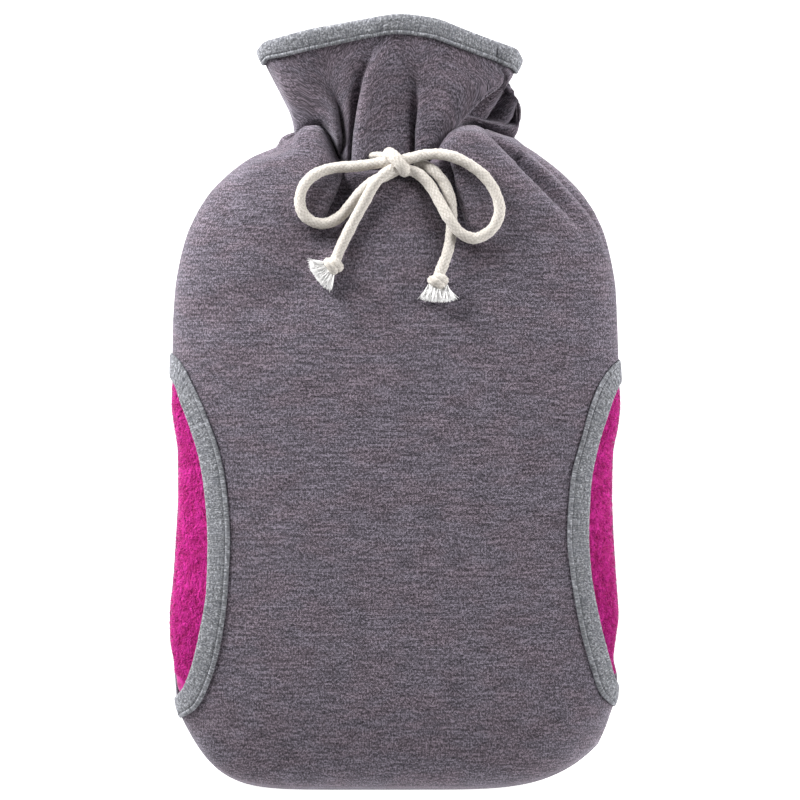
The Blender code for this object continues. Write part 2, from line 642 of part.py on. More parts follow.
def gap_across(across, along):
    """The edge gap as a step of across, wider near the seams where across crowds together."""
    per_across = 0.5 * math.pi * SECTIONS("right_x", along) * np.cos(0.5 * math.pi * across)
    return EDGE_GAP / (per_across + SEAM_CROWDING)


def front_panel(material):
    body = np.array(BODY_ROWS, float)
    left = cutaway_line(LEFT_CUTAWAY, "inner", body)
    right = cutaway_line(RIGHT_CUTAWAY, "inner", body)
    left = np.where(left > -1, left + gap_across(left, body), -1)
    right = np.where(right < 1, right - gap_across(right, body), 1)
    share = np.linspace(0, 1, FRONT_COLUMNS)
    across = left[:, None] * (1 - share) + right[:, None] * share
    rows = body[:, None] + 0 * share
    collar_across = np.linspace(-1, 1, FRONT_COLUMNS)
    collar = collar_rows(front_point, collar_across, COLLAR_ROWS)
    across = np.concatenate([across, collar_across + 0 * collar])
    points = front_point(across, np.concatenate([rows, collar]))
    points[..., 2] += 0.5 * SEAM_GAP
    return cloth_sheet("front_panel", points, JERSEY_THICK, material)


def back_panel(material):
    across = np.linspace(1, -1, BACK_COLUMNS)
    rows = np.array(BACK_ROWS, float)[:, None] + 0 * across
    rows = np.concatenate([rows, collar_rows(back_point, across, BACK_COLLAR_ROWS)])
    points = back_point(across + 0 * rows, rows)
    points[..., 2] -= np.where(points[..., 2] > SEAM_GAP, 0.5 * SEAM_GAP, 0)
    return cloth_sheet("back_panel", points, JERSEY_THICK, material)


def plush_points(across, along):
    """The plush under the front, rising to the side seams through the cut-aways."""
    sink = np.full(across.shape, PLUSH_SINK)
    for table, seam in ((LEFT_CUTAWAY, -1.0), (RIGHT_CUTAWAY, 1.0)):
        fold = cutaway_line(table, "outer", along)
        strip = np.abs(fold - seam)
        beyond = (np.abs(across) - np.abs(fold)) * (np.sign(across) == seam)
        opened = soft_step(strip / OPEN_STRIP)
        sink = sink - PLUSH_SINK * opened * soft_step(beyond / np.maximum(strip, 1e-6))
    return raised(front_point, across, along, -sink)


def plush_panel(material):
    across = np.linspace(-1, 1, PLUSH_COLUMNS)
    along = np.array(PLUSH_ROWS, float)[:, None] + 0 * across
    points = plush_points(across + 0 * along, along)
    points[..., 2] += 0.5 * SEAM_GAP
    points[:, (0, -1), 2] += PLUSH_LIFT
    return cloth_sheet("plush_panel", points, PLUSH_THICK, material)


def smooth_route(points, step):
    """Places a step apart on a smooth curve through a route's own points."""
    points = np.array(points, float)
    padded = np.concatenate([[2 * points[0] - points[1]], points, [2 * points[-1] - points[-2]]])
    stretches = []
    t = np.linspace(0, 1, ROUTE_SAMPLES, endpoint=False)[:, None]
    for before, start, end, after in zip(padded, padded[1:], padded[2:], padded[3:]):
        square = 2 * before - 5 * start + 4 * end - after
        cube = 3 * start - before - 3 * end + after
        stretches.append(start + 0.5 * ((end - before) * t + square * t ** 2 + cube * t ** 3))
    places = np.concatenate([*stretches, points[-1:]])
    run = np.concatenate([[0], np.cumsum(np.linalg.norm(np.diff(places, axis=0), axis=1))])
    even = np.linspace(0, run[-1], max(2, round(run[-1] / step) + 1))
    return np.stack([np.interp(even, run, places[:, axis]) for axis in range(3)], -1)


def cord_tube(name, route, material):
    """One length of the drawcord as a plain round tube."""
    line = bpy.data.curves.new(name, "CURVE")
    line.dimensions = "3D"
    line.bevel_depth = 0.5 * CORD_DIAMETER * MM
    line.bevel_resolution = 2
    line.use_fill_caps = True
    places = metres(smooth_route(route, CORD_POINT_STEP))
    spline = line.splines.new("POLY")
    spline.points.add(len(places) - 1)
    for point, place in zip(spline.points, places):
        point.co = (*place, 1)
    return add_object(name, line, material)


def knot_lump(name, lump, material):
    """A tied knot as one rounded lump."""
    middle, half = lump
    bm = bmesh.new()
    bmesh.ops.create_uvsphere(bm, u_segments=14, v_segments=8, radius=MM)
    bmesh.ops.scale(bm, vec=Vector(half), verts=bm.verts)
    bmesh.ops.translate(bm, vec=metres(middle), verts=bm.verts)
    mesh = bpy.data.meshes.new(name)
    bm.to_mesh(mesh)
    bm.free()
    mesh.shade_smooth()
    return add_object(name, mesh, material)


def frayed_end(name, fray, material):
    """The cord's combed-out strands as one flattened flaring brush."""
    start, heading, near, far, length = fray
    bm = bmesh.new()
    bmesh.ops.create_cone(bm, cap_ends=True, segments=16, radius1=near, radius2=far, depth=length)
    bmesh.ops.translate(bm, vec=(0, 0, 0.5 * length), verts=bm.verts)
    bmesh.ops.scale(bm, vec=(FRAY_FLATNESS * MM, MM, MM), verts=bm.verts)
    forward = Matrix.Rotation(0.5 * math.pi, 3, "Y")
    turned = Matrix.Rotation(math.radians(heading), 3, "Z") @ forward
    bmesh.ops.rotate(bm, cent=(0, 0, 0), matrix=turned, verts=bm.verts)
    bmesh.ops.translate(bm, vec=metres(start), verts=bm.verts)
    mesh = bpy.data.meshes.new(name)
    bm.to_mesh(mesh)
    bm.free()
    return add_object(name, mesh, material)


def clear_scene():
    for thing in list(bpy.data.objects):
        bpy.data.objects.remove(thing)


clear_scene()
cover = bpy.data.collections.new("hot_water_bottle_cover")
bpy.context.scene.collection.children.link(cover)
jersey = new_material("heather jersey", (0.13, 0.11, 0.14), 0.9)
jersey_back = new_material("heather jersey, back", (0.13, 0.11, 0.14), 0.9)
plush = new_material("pink plush", (0.62, 0.02, 0.20), 0.85)
rib = new_material("light grey rib", (0.30, 0.31, 0.34), 0.9)
cord = new_material("natural cotton cord", (0.72, 0.68, 0.60), 0.9)
frayed = new_material("frayed cotton", (0.86, 0.85, 0.84), 0.95)

front_panel(jersey)
back_panel(jersey_back)
plush_panel(plush)
side_tape("side_binding_left", LEFT_CUTAWAY, LEFT_TAPE_ROWS, rib)
side_tape("side_binding_right", RIGHT_CUTAWAY, RIGHT_TAPE_ROWS, rib)
rim_tape("collar_binding", rib)

knot_lump("bow_knot", BOW_KNOT, cord)
cord_tube("cord_loop_left", LEFT_LOOP, cord)
cord_tube("cord_loop_right", RIGHT_LOOP, cord)
cord_tube("cord_tail_left", LEFT_TAIL, cord)
cord_tube("cord_tail_right", RIGHT_TAIL, cord)
knot_lump("end_knot_left", LEFT_END_KNOT, cord)
knot_lump("end_knot_right", RIGHT_END_KNOT, cord)
frayed_end("frayed_end_left", LEFT_FRAY, frayed)
frayed_end("frayed_end_right", RIGHT_FRAY, frayed)
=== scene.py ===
import math

import bpy
import numpy as np
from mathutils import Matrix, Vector


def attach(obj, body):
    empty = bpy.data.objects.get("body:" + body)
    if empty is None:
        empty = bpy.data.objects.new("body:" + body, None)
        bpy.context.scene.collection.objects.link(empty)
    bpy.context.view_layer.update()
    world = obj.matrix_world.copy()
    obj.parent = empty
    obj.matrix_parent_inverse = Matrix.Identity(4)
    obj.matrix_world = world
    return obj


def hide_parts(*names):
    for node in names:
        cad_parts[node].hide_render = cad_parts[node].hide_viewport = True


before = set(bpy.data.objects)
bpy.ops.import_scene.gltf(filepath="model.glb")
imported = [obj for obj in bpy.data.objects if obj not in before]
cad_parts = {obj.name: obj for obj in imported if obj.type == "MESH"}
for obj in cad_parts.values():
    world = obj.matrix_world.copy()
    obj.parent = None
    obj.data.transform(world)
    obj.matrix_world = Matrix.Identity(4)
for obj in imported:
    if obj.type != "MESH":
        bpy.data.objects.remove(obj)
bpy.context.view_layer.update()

MM = 0.001
ORIGIN = (-0.45, 190.04, 0.0)

# Lengths up the middle of the cover
COVER_LENGTH = 380.0
NECK_ALONG = 303.0
SHOULDER_ALONG = 288.0

# Cloths, from their outer faces inward
JERSEY_THICK = 1.4
PLUSH_THICK = 1.6
PLUSH_SINK = 3.0
TAPE_THICK = 0.8
TAPE_PROUD = 1.0
TAPE_UNDER = 1.9
COLLAR_TAPE_WIDTH = 8.4
SIDE_TAPE_WIDTH = 9.8
PANEL_UNDER_TAPE = 0.12
RIM_LEFT_OVER = 1.2
OPEN_STRIP = 0.16
SEAM_DIP = 0.9
SEAM_STARTS = 0.965

# How the filled body rounds off
SIDE_POWER = 2.5
BACK_POWER = 3.4
BOTTOM_ROUND = 58.0
BACK_ROUND = 34.0
BACK_PRESS = 3.0
LEFT_CORNER_BEND = 7.0
RIGHT_CORNER_BEND = 4.7
SHOULDER_BEND = 2.2
BENDS_CHANGE_AT = 150.0

# The collar: where its front turns under at the right, and how soon it clears the drawcord
FLAP_ACROSS = 0.221
COLLAR_EMERGES = 7.0
COLLAR_FROM = 303.4
SEAM_TURN = 0.14

# Folds of the back, gathered under the drawcord
BACK_FOLD_WIDTH = 0.055
BACK_FOLD_REACH = 46.0
BACK_NECK_Y = 314.0
BACK_RIM_Y = 376.0
FINE_FROM = 240.0

# Samples of surfaces and lines
RIPPLE_WAVES = 9
CUTAWAY_SAMPLES = 80
ROUTE_SAMPLES = 24
FRONT_COLUMNS = 190
FRONT_BODY_ROWS = 62
FRONT_NECK_ROWS = 74
FRONT_COLLAR_ROWS = 86
UV_COLUMNS = 161
UV_ROWS = 381
NORMAL_ACROSS = 0.004
NORMAL_ALONG = 0.15
STITCH_SIDES = 6

# Plush
PILE_LENGTH = 1.0
PILE_WIDTH = 0.3
PILE_COUNT = 24000
PILE_INSET = 0.8

# Drawcord
CORD_RADIUS = 2.75
CORD_STATION = 0.45
CORD_SIDES = 36
BRAID_STRANDS = 8
BRAID_PITCH = 2.5
BRAID_RELIEF = 0.42
BRAID_SHAPE = 0.55

# Finishes
BRIGHTEST_FLECK = 0.8
# Painted shade on the rib tape: a dark line in the groove beside its stitches, and a dark band along its inner
# edge (distances across the tape, in mm)
SHADED_GROOVE_PLACE = 2.0
SHADED_GROOVE_HALF = 0.3
PAINTED_EDGE_SHADE_WIDTH = 0.35
LOOP_WIDTH = 0.0013
LOOP_HEIGHT = 0.0010


class Table:
    """Rows of named columns, read as smooth curves along the first column."""

    def __init__(self, text):
        names, *rows = text.strip().splitlines()
        self.names = names.split()
        self.rows = np.array([row.split() for row in rows], float)

    def __call__(self, names, at):
        found = [smooth_curve(self.rows[:, 0], self.rows[:, self.names.index(name)], at) for name in names.split()]
        return found if len(found) > 1 else found[0]


def smooth_curve(xs, ys, at):
    """A cubic through the points that never overshoots them, held level past its ends."""
    step = np.diff(xs)
    slope = np.diff(ys) / step
    product = slope[:-1] * slope[1:]
    total = slope[:-1] + slope[1:]
    inner = np.where(product > 0, 2 * product / np.where(total == 0, 1, total), 0)
    tangent = np.concatenate([slope[:1], inner, slope[-1:]])
    at = np.clip(np.asarray(at, float), xs[0], xs[-1])
    i = np.clip(np.searchsorted(xs, at, side="right") - 1, 0, len(step) - 1)
    t = (at - xs[i]) / step[i]
    rise = t * t * (3 - 2 * t)
    leave = t * (1 - t) ** 2 * step[i]
    arrive = t * t * (t - 1) * step[i]
    return ys[i] * (1 - rise) + ys[i + 1] * rise + tangent[i] * leave + tangent[i + 1] * arrive


def places(text):
    """Places parted by commas, each of values parted by spaces."""
    return [[float(value) for value in place.split()] for place in text.split(",")]


def folds(text):
    """Each fold's name, and the places along its line."""
    named = (line.split(":") for line in text.strip().replace(",\n", ",").splitlines())
    return {name: places(line) for name, line in named}


# Routes of the cord's middle line over the cloth, from the bow knot outward and back
LEFT_LOOP = places("""
1.2 307.6 46.6, -4.8 307.6 45.2, -11 306.6 43.4, -19.5 305.4 42.2, -30 304.6 42.8, -38.5 302 45.6,
-44.6 296.5 47.8, -47 289 48.9, -45.3 282.2 49.3, -40 278 48.6, -33.4 277.6 46.9, -27 281 45.7,
-21.6 287.4 45.6, -15.6 294.2 46.6, -10 298.6 47, -5.4 300.6 46.8, 0.4 303.6 46.6
""")
RIGHT_LOOP = places("""
3.4 308.4 46.8, 9.4 309.8 46, 14.6 311 46, 22 311.2 47.2, 29.5 309.4 48.2, 37 305.4 48, 43.6 300 47.9,
48.6 292.5 48.3, 50.7 283.8 49.1, 48 276 49.8, 42.6 271.4 50.2, 37 270.2 51.7, 31 273.2 53.5, 26 279.6 53.5,
21.6 287.4 51.1, 17 295.4 48.4, 12.4 300.6 47.4, 8.6 302.8 46.8, 3.4 304.6 47
""")
LEFT_TAIL = places("""
1.6 305 46.4, -3 303.2 50.6, -8 299.4 52.6, -11.4 295.2 52.6, -15 288.6 51.2, -20.5 278.6 50.2,
-25.4 269 50.5, -28.2 262.8 51.2, -29.8 258.6 51.9
""")
RIGHT_TAIL = places("""
9.6 306.4 40.4, 14 305.6 42, 19 302.6 44.9, 23.8 296.6 45.6, 26.7 288.4 46.6, 27.3 280 47.1, 27 272 48.5,
25.4 263.8 50.6, 23.2 257.6 51.9, 21.6 253.6 52.7, 20.8 250.6 53.2
""")

# Sections of the body, by the length up its middle line
SECTIONS = Table("""
along left_x left_y right_x right_y seam crown back
0 -100.1 26.3 99.3 22.8 20 47 0
4 -103.6 32.5 102.8 30.5 20.3 47 0
10 -106.2 38.5 105.2 37.5 20.7 47 0
18 -107.9 46 108.3 47 21 47.2 0
30 -108.6 55 108.8 55 21.4 47.6 0
45 -109.3 64 107 65 21.8 48.2 0
60 -110.9 73 108 74 22 49 0
80 -111.2 85 109.4 86 22 49.8 0
105 -109.4 105 108.2 105 22 50.3 0
125 -108.1 125 107 125 22 50.6 0
145 -107.1 145 106.3 145 22 50.8 0
165 -107.2 165 106.8 165 22 50.8 0
178 -109 178 109.2 178 22 50.7 0
188 -110.3 188 110.3 188 22 50.6 0
205 -109.8 205 109.5 205 22 50.4 0
225 -109.6 225 108.8 225 22 50 0
245 -108.4 245 107.9 245 21.8 49.3 0
262 -105.8 260.5 105.4 260.5 21.5 48.4 0
276 -102.4 272.5 102.2 272.5 21.2 47.4 0.6
288 -97.8 282.5 97.8 282.5 20.9 46.6 3
292 -91.8 292 91.4 292 20.7 46.2 4.4
296 -82.6 301.5 82 301.8 20.5 45.6 5.8
299.5 -70 310.6 70.4 311 20.3 45 7.2
301.6 -59 315.2 62 316.6 20.1 44.4 8.2
302.5 -56 320 59.6 318.4 20 44.1 8.7
303 -50 322.5 58 319.5 20 44 9
""")

# The line at which the drawcord cinches the neck, and how far below it the cloth rolls over
GATHER = Table("""
side y valley roll lip
-1 322.3 20 3 0.2
-0.975 319.6 20 3 0.6
-0.9 321.4 20 4 1.6
-0.82 323.6 19 5 3
-0.76 323.6 19 5 3.4
-0.7 321.5 19 5 3.6
-0.65 317 19 5 3.6
-0.6 310.5 20 6 3.4
-0.54 306 25 8 3
-0.46 304 31.5 12 1.5
-0.25 303.4 33.5 13 1.2
-0.03 303 34 13 1.2
0.07 303.2 33 13 1.2
0.153 304.2 33 12 1.2
0.284 308 28 8 2.4
0.34 313.5 23 6 3.2
0.414 320 20 5 3.2
0.526 323.6 20 5 2.8
0.637 324.5 20 5 2.2
0.767 322.5 20 4 1.6
0.9 320.6 20 4 0.8
1 319.5 20 3 0.2
""")

# The collar above that line, from 0 at the line to 1 at the rim
COLLAR = Table("""
rise left slot step valley flap right seam crest flap_z back turn
0 -50 -28.6 -19.8 9.6 22.1 58 20 36 28 9 0
0.1 -50.6 -28.6 -19.5 9.8 25.5 60 20.4 36.6 31.5 8.7 0.1
0.22 -52 -28.8 -19 10.2 30 60.8 20.8 37.4 33.6 8.2 0.9
0.45 -56.5 -30.4 -16.8 10.8 41 60.4 21.4 39 35 7 1
0.65 -60.7 -32.6 -14 9.8 52.4 54.8 21.8 40.6 34.5 6 0.7
0.76 -63 -33.8 -12 9.4 49.5 57 22 41.6 35 5.3 0
1 -67 -36 -8 13 50 61 22 43.5 36 4 0
""")
ANCHORS = (("left", -1.0), ("slot", -0.410), ("step", -0.285), ("valley", 0.066), ("flap", FLAP_ACROSS))

RIM = Table("""
x y
-67 362.8
-64.5 365.6
-58 367.6
-42 371.8
-28 374.4
-15 376.8
2 379.2
19 377.2
31.5 372.6
42 368.6
54 364.2
59 362.2
61 358.7
""")

# The S-shaped turn of the collar behind its right flap: how far each place stands off the
# flap's edge (out, drop), and its share of the way to the right seam
TURN = Table("""
way out drop share
0 0 0 0
0.05 0.8 0.9 0
0.1 0.6 2.7 0
0.17 -1.5 4.8 0
0.25 -4.6 6.2 0
0.32 -3.8 8.2 0.02
0.42 -1.6 9.2 0.12
0.58 0 9.2 0.42
0.78 0 9 0.84
0.92 0 9 0.985
1 0 9.2 1
""")

BACK_GATHERS = Table("""
across depth
-0.62 3.2
-0.41 2.6
-0.2 3.4
0.03 2.8
0.25 3.6
0.44 2.4
0.66 3
""")

# The bound cut-away edges: outer fold of the tape, then its inner edge beside it
LEFT_CUTAWAY = Table("""
order outer_x outer_y inner_x inner_y
0 -112 205 -112 216
1 -107.3 198 -105.2 209
2 -105 190.5 -99.4 198
3 -100 177 -91.9 180.5
4 -95.6 162 -86.7 165
5 -93 145.5 -83.4 147
6 -91.5 122.5 -81.7 122.5
7 -92 100 -82.7 100
8 -95.2 79 -85.6 75.5
9 -100 59 -91.4 53.5
10 -104.7 48.5 -98.2 40.5
11 -112 42 -112 33
""")
RIGHT_CUTAWAY = Table("""
order outer_x outer_y inner_x inner_y
0 112 203 112 213
1 108 197 104.6 206
2 106 192 99.6 198
3 103 183 95.6 188
4 99 170.5 91.7 174
5 94.8 148.5 85.9 150.5
6 93.8 125 84.3 125
7 94.8 108 85.9 107.5
8 99 84 90.2 82
9 104.2 64 95.8 60.5
10 107 54 100.6 47.5
11 112 47 112 38
""")
CUTAWAYS = ((LEFT_CUTAWAY, -1.0), (RIGHT_CUTAWAY, 1.0))

# Soft folds as troughs (depth > 0) and crests (depth < 0), each along its own line:
# x, y, depth, width
BODY_FOLDS = folds("""
left hollow: -13 304 5.5 5, -21 293 6.5 7, -33 272 4.6 10, -50 246 2 15, -62 226 0.6 18
right hollow: 14 305 5.5 4, 20 294 6.5 6, 27 279 5 7, 38 257 2.6 12, 48 240 0.8 15
shoulder crest: 40 318 -1.6 4, 52 304 -2.4 5, 66 290 -2.6 6, 82 277 -1.4 7, 94 266 0 9
outer crest: 63 312 -1 3, 79 297 -1.6 4, 93 283 -1 5, 101 268 0 6
bulge below the bow: 2 296 -1.6 12, 3 270 -1.2 16
left arm crease: -104 226 0.9 5, -80 236 1 8, -56 243 0.7 12
right arm crease: 104 230 0.8 5, 84 238 1.1 7, 52 244 0.8 12
right flank: 100 205 0.5 6, 80 216 0.4 9, 58 222 0.2 12
left shoulder crease: -92 284 0.3 5, -74 292 0.9 6, -58 300 1.2 6, -46 306 0.6 6
""")
COLLAR_FOLDS = folds("""
step crest: -15.6 306 -2.2 3, -14.6 325 -2.4 3.5, -11.5 345 -2.2 4.5, -5 362 -0.8 7
middle hollow: 2 308 2.6 7, 3 326 3.2 7, 3 342 2.2 7, 3 356 0.5 8
right swell: 22 330 -1.6 6, 30 344 -1.8 9, 36 356 -0.8 10
left hollow: -37 330 1.2 6, -37 348 1.6 8, -33 362 1 8
rim wave: -21 364 1.2 4, -18 378 1.3 5
""")

# Tight folds that lean over their own troughs: x, y, depth, width to the left and to the right
# of the line as it runs, and how far the steeper side leans
BODY_EDGES = folds("""
left pouf: -38 268 0.8 3 9 0, -34.6 282 4.6 1.8 8 2.2, -31 292 7 1.6 8 3.2, -27 300 7 1.6 6 3.2,
-24 306 5.5 2 5 2
right pouf: 40 262 0.6 10 4 0, 35.2 276 4.2 8 1.9 2.2, 32.4 288 7 7 1.6 3.2, 30.4 300 7.5 6 1.6 3.2,
27 309 5.5 5 2 2
left knob: -60 303 0.4 3 3 0, -56 311 1.4 2 2.4 0.4, -50.5 318 2.6 1.8 1.8 0.8, -48 323 3.6 1.8 1.8 0.8
shoulder: 95 270 0.4 4 9 0, 81.5 283 4 1.9 7 1.8, 70.4 292.4 7 1.5 7 3.2, 59.8 302.6 8 1.5 6.5 3.4,
52 311.6 7 1.5 5 3, 46.5 319 4.5 1.8 4 1.8
shoulder nick: 57.5 307 1.6 1.4 2.4 0.6, 63.5 314 2.4 1.2 2.4 0.8
side seam: 108 236 0.5 1.6 2 0, 107.1 249 1.5 1.2 1.6 0.4, 104.6 259.4 2.4 1.1 1.6 0.6,
99.9 273 3 1.1 1.7 0.8, 95.2 280.6 3.2 1.1 1.8 0.9, 87.7 289.8 3.2 1.1 2 1, 77.1 301.2 3 1.1 2 1,
65.9 311.2 2 1.2 2 0.6
""")
COLLAR_EDGES = folds("""
slot: -27.4 306 9 2 2.2 1.6, -26.6 320 10 1.8 2.2 2, -28.2 334 7 2.4 4 1.4, -32 348 2.4 5 8 0,
-36 360 0.7 9 9 0
step: -20.4 304 8 3.4 1.4 3, -19.4 320 8 3.6 1.4 3, -17.6 335 6.6 4.4 1.5 2.6, -15.4 349 4.6 5.4 1.8 1.8,
-11.6 361 2.2 6 2.4 0.6, -8 369 0.7 7 5 0
middle: 10.2 304 7 3.4 1.4 2.6, 10.8 322 7.2 4 1.4 2.6, 11.2 338 5.2 5.4 1.8 1.6, 9 350 2.2 7 4 0,
7 360 0.5 8 8 0
""")
REAR_EDGES = folds("""
first fold: 37.6 318 7 1.3 4 2.2, 39.6 323.4 7 1.3 4 2.2, 44.8 331.6 6 1.3 4.2 2.2, 52.6 342.6 4 1.5 4.5 1.4
second fold: 48.4 318 6 1.2 3.4 2, 50.8 322.6 6 1.2 3.4 2, 57 330.4 5 1.3 3.2 1.6, 60 336.4 1.4 1.8 3 0.4
third fold: 55.2 318 1.8 0.9 1.6 0, 56.2 321.5 1.8 0.9 1.6 0, 58 328 0.8 1.1 1.6 0
""")


def side_of(across):
    """Sideways place in a section, -1 to 1, with sections read closer together near the seams."""
    return np.sin(0.5 * math.pi * across)


def quarter_round(t):
    """Rises like a quarter circle from 0 to 1 and stays there."""
    return np.sqrt(np.clip(1 - (1 - np.clip(t, 0, 1)) ** 2, 0, 1))


def soft_step(t):
    t = np.clip(t, 0, 1)
    return t * t * (3 - 2 * t)


def dome(side, power=SIDE_POWER):
    """Height of a section with rounded sides, 1 in its middle and 0 at its seams."""
    return np.clip(1 - np.abs(side) ** power, 0, 1) ** (1 / power)


def paired(across, along):
    return np.broadcast_arrays(np.asarray(across, float), np.asarray(along, float))


def between(left, right, side):
    return 0.5 * (left + right) + 0.5 * (right - left) * side


def run_of(points):
    """Distance run along a line of points."""
    return np.concatenate([[0], np.cumsum(np.linalg.norm(np.diff(points, axis=0), axis=1))])


def nearest_on(line, x, y):
    """The nearest point of a fold's line: distance, offset, heading, then the fold's sizes there."""
    nearest = None
    for (x0, y0, *first), (x1, y1, *second) in zip(line, line[1:]):
        run_x, run_y = x1 - x0, y1 - y0
        t = np.clip(((x - x0) * run_x + (y - y0) * run_y) / (run_x ** 2 + run_y ** 2), 0, 1)
        off_x = x - x0 - t * run_x
        off_y = y - y0 - t * run_y
        sizes = [a + (b - a) * t for a, b in zip(first, second)]
        found = np.stack([np.hypot(off_x, off_y), off_x, off_y, run_x + 0 * t, run_y + 0 * t, *sizes])
        nearest = found if nearest is None else np.where(found[0] < nearest[0], found, nearest)
    return nearest


def fold_height(folds, x, y):
    """Sum of the named folds at (x, y), each fading with the distance from its own line."""
    total = 0
    for line in folds.values():
        away, *_, depth, width = nearest_on(line, x, y)
        total = total - depth * np.exp(-(away / width) ** 2)
    return total


def lean_folds(edges, x, y):
    """Shift (dx, dy, dz) of the tight folds: a trough with one steep side that leans over it."""
    total = 0
    for line in edges.values():
        away, off_x, off_y, run_x, run_y, depth, left, right, lean = nearest_on(line, x, y)
        on_left = run_x * off_y - run_y * off_x > 0
        steep = on_left == (left < right)
        q = away / np.where(on_left, left, right)
        push = np.where(steep, lean * q * np.exp(1 - q), 0) / np.maximum(away, 1e-6)
        total = total + np.stack([-off_x * push, -off_y * push, -depth * np.exp(-q ** 2)], -1)
    return total


def ripple(x, y, size, seed):
    """Gentle unevenness of limp cloth, between -1 and 1, from a few crossing waves."""
    rng = np.random.default_rng(seed)
    total = np.zeros_like(x)
    for _ in range(RIPPLE_WAVES):
        heading = rng.uniform(0, math.pi)
        wave = size * rng.uniform(0.6, 1.7)
        phase = rng.uniform(0, 2 * math.pi)
        total += np.sin(2 * math.pi * (x * math.cos(heading) + y * math.sin(heading)) / wave + phase)
    return total / RIPPLE_WAVES ** 0.5 / 1.4


def outline(side, along):
    """Plan position of a body section's point, before the neck line pulls it."""
    left, left_y, right, right_y = SECTIONS("left_x left_y right_x right_y", along)
    corner = np.where(side < 0, LEFT_CORNER_BEND, RIGHT_CORNER_BEND)
    bend = np.where(along < BENDS_CHANGE_AT, corner, SHOULDER_BEND)
    return between(left, right, side), np.where(side < 0, left_y, right_y), np.abs(side) ** bend


def neck_end(side):
    return np.where(side < 0, *GATHER.rows[[0, -1], 1])


def body_y(side, along, end_y, bow, neck_y):
    """How far up a body section's point lies, drawn to the neck line near the drawcord."""
    neck_bow = (neck_y - NECK_ALONG) / (neck_end(side) - NECK_ALONG)
    pull = np.clip((along - SHOULDER_ALONG) / (NECK_ALONG - SHOULDER_ALONG), 0, 1)
    return along + (end_y - along) * ((1 - pull) * bow + pull * neck_bow)


def front_body(across, along):
    side = side_of(across)
    x, end_y, bow = outline(side, along)
    neck_y, valley, roll, lip = GATHER("y valley roll lip", side)
    y = body_y(side, along, end_y, bow, neck_y)
    seam, crown = SECTIONS("seam crown", along)
    swell = dome(side)
    z = seam + (crown - seam) * dome(1 - np.clip(along / BOTTOM_ROUND, 0, 1)) * swell
    inland = np.clip(1.6 * swell, 0, 1)
    z = z + (fold_height(BODY_FOLDS, x, y) + 0.35 * ripple(x, y, 34, 3)) * inland
    move = lean_folds(BODY_EDGES, x, y) * inland[..., None]
    nearness = np.clip((neck_y - y) / roll, 0, 1)
    near = quarter_round(nearness)
    y = y + move[..., 1] + lip * np.sin(math.pi * nearness ** 0.5)
    return np.stack([x + move[..., 0] * near, y, valley + (z + move[..., 2] - valley) * near], -1)


def collar_width(across, rise):
    """Sideways place at the neck line, and in the collar as the named fold columns carry it."""
    at_neck, _, _ = outline(side_of(across), np.full_like(across, NECK_ALONG))
    shift = np.zeros_like(across)
    for (name, place), (next_name, next_place) in zip(ANCHORS, ANCHORS[1:]):
        t = (across - place) / (next_place - place)
        low, high = (COLLAR(column, rise) - COLLAR(column, 0.0) for column in (name, next_name))
        shift = np.where((t >= 0) & (t <= 1), low * (1 - t) + high * t, shift)
    return at_neck, at_neck + shift


def rim_place(across):
    """Where along the rim (x) a column of the collar ends."""
    _, x = collar_width(across, np.ones_like(across))
    flap, right = COLLAR("flap right", 1.0)
    flap_side = side_of(FLAP_ACROSS)
    way = np.clip((side_of(across) - flap_side) / (1 - flap_side), 0, 1)
    return np.where(across > FLAP_ACROSS, flap + (right - flap) * way, x)


def front_collar(across, rise):
    side = side_of(across)
    at_neck, x = collar_width(across, rise)
    left, right, flap, flap_z, seam, crest, turn = COLLAR("left right flap flap_z seam crest turn", rise)
    swell = dome(np.clip(x / left, 0, 1))
    to_flap = np.clip(x / flap, 0, 1)
    z = np.where(x < 0, seam + (crest - seam) * swell, flap_z + (crest - flap_z) * (1 - to_flap ** 2))
    # behind the flap: a plain turn to the seam, or the S-shaped turn of the rear folds
    way = np.clip((across - FLAP_ACROSS) / (1 - FLAP_ACROSS), 0, 1)
    flap_neck, right_neck = outline(side_of(np.array([FLAP_ACROSS, 1.0])), np.full(2, NECK_ALONG))[0]
    share = np.clip((at_neck - flap_neck) / (right_neck - flap_neck), 0, 1)
    plain_x = flap + (right - flap) * share
    plain_z = seam + (flap_z - seam) * dome(share)
    out, drop, part = TURN("out drop share", way)
    turn_x = flap + out + (right - flap) * part
    last = 1 - quarter_round((1 - way) / SEAM_TURN)
    turn_z = (flap_z - drop) * (1 - last) + seam * last
    behind = across > FLAP_ACROSS
    x = np.where(behind, plain_x + (turn_x - plain_x) * turn, x)
    z = np.where(behind, plain_z + (turn_z - plain_z) * turn, z)
    neck_y, valley = GATHER("y valley", side)
    y = neck_y + (RIM("y", rim_place(across)) - neck_y) * rise
    inland = np.clip(2.5 * swell, 0, 1) * soft_step((FLAP_ACROSS - across) / 0.02)
    fold = (fold_height(COLLAR_FOLDS, x, y) + 0.3 * ripple(x, y, 26, 5)) * inland
    move = lean_folds(COLLAR_EDGES, x, y) * inland[..., None]
    window = soft_step((way - 0.26) / 0.12) * soft_step((1 - way) / SEAM_TURN) * np.clip(1.6 * turn, 0, 1)
    rear = lean_folds(REAR_EDGES, x, y) * (window * behind)[..., None]
    z = z + np.where(behind, rear[..., 2], fold + move[..., 2])
    move = move + rear
    risen = quarter_round((y - neck_y) / COLLAR_EMERGES)
    return np.stack([x + move[..., 0] * risen, y + move[..., 1] * risen, valley + (z - valley) * risen], -1)


def rise_of(along):
    return np.clip((along - NECK_ALONG) / (COVER_LENGTH - NECK_ALONG), 0, 1)


def front_point(across, along):
    """The outer face of the front, body and collar."""
    across, along = paired(across, along)
    body = front_body(across, np.minimum(along, NECK_ALONG))
    return np.where((along <= NECK_ALONG)[..., None], body, front_collar(across, rise_of(along)))


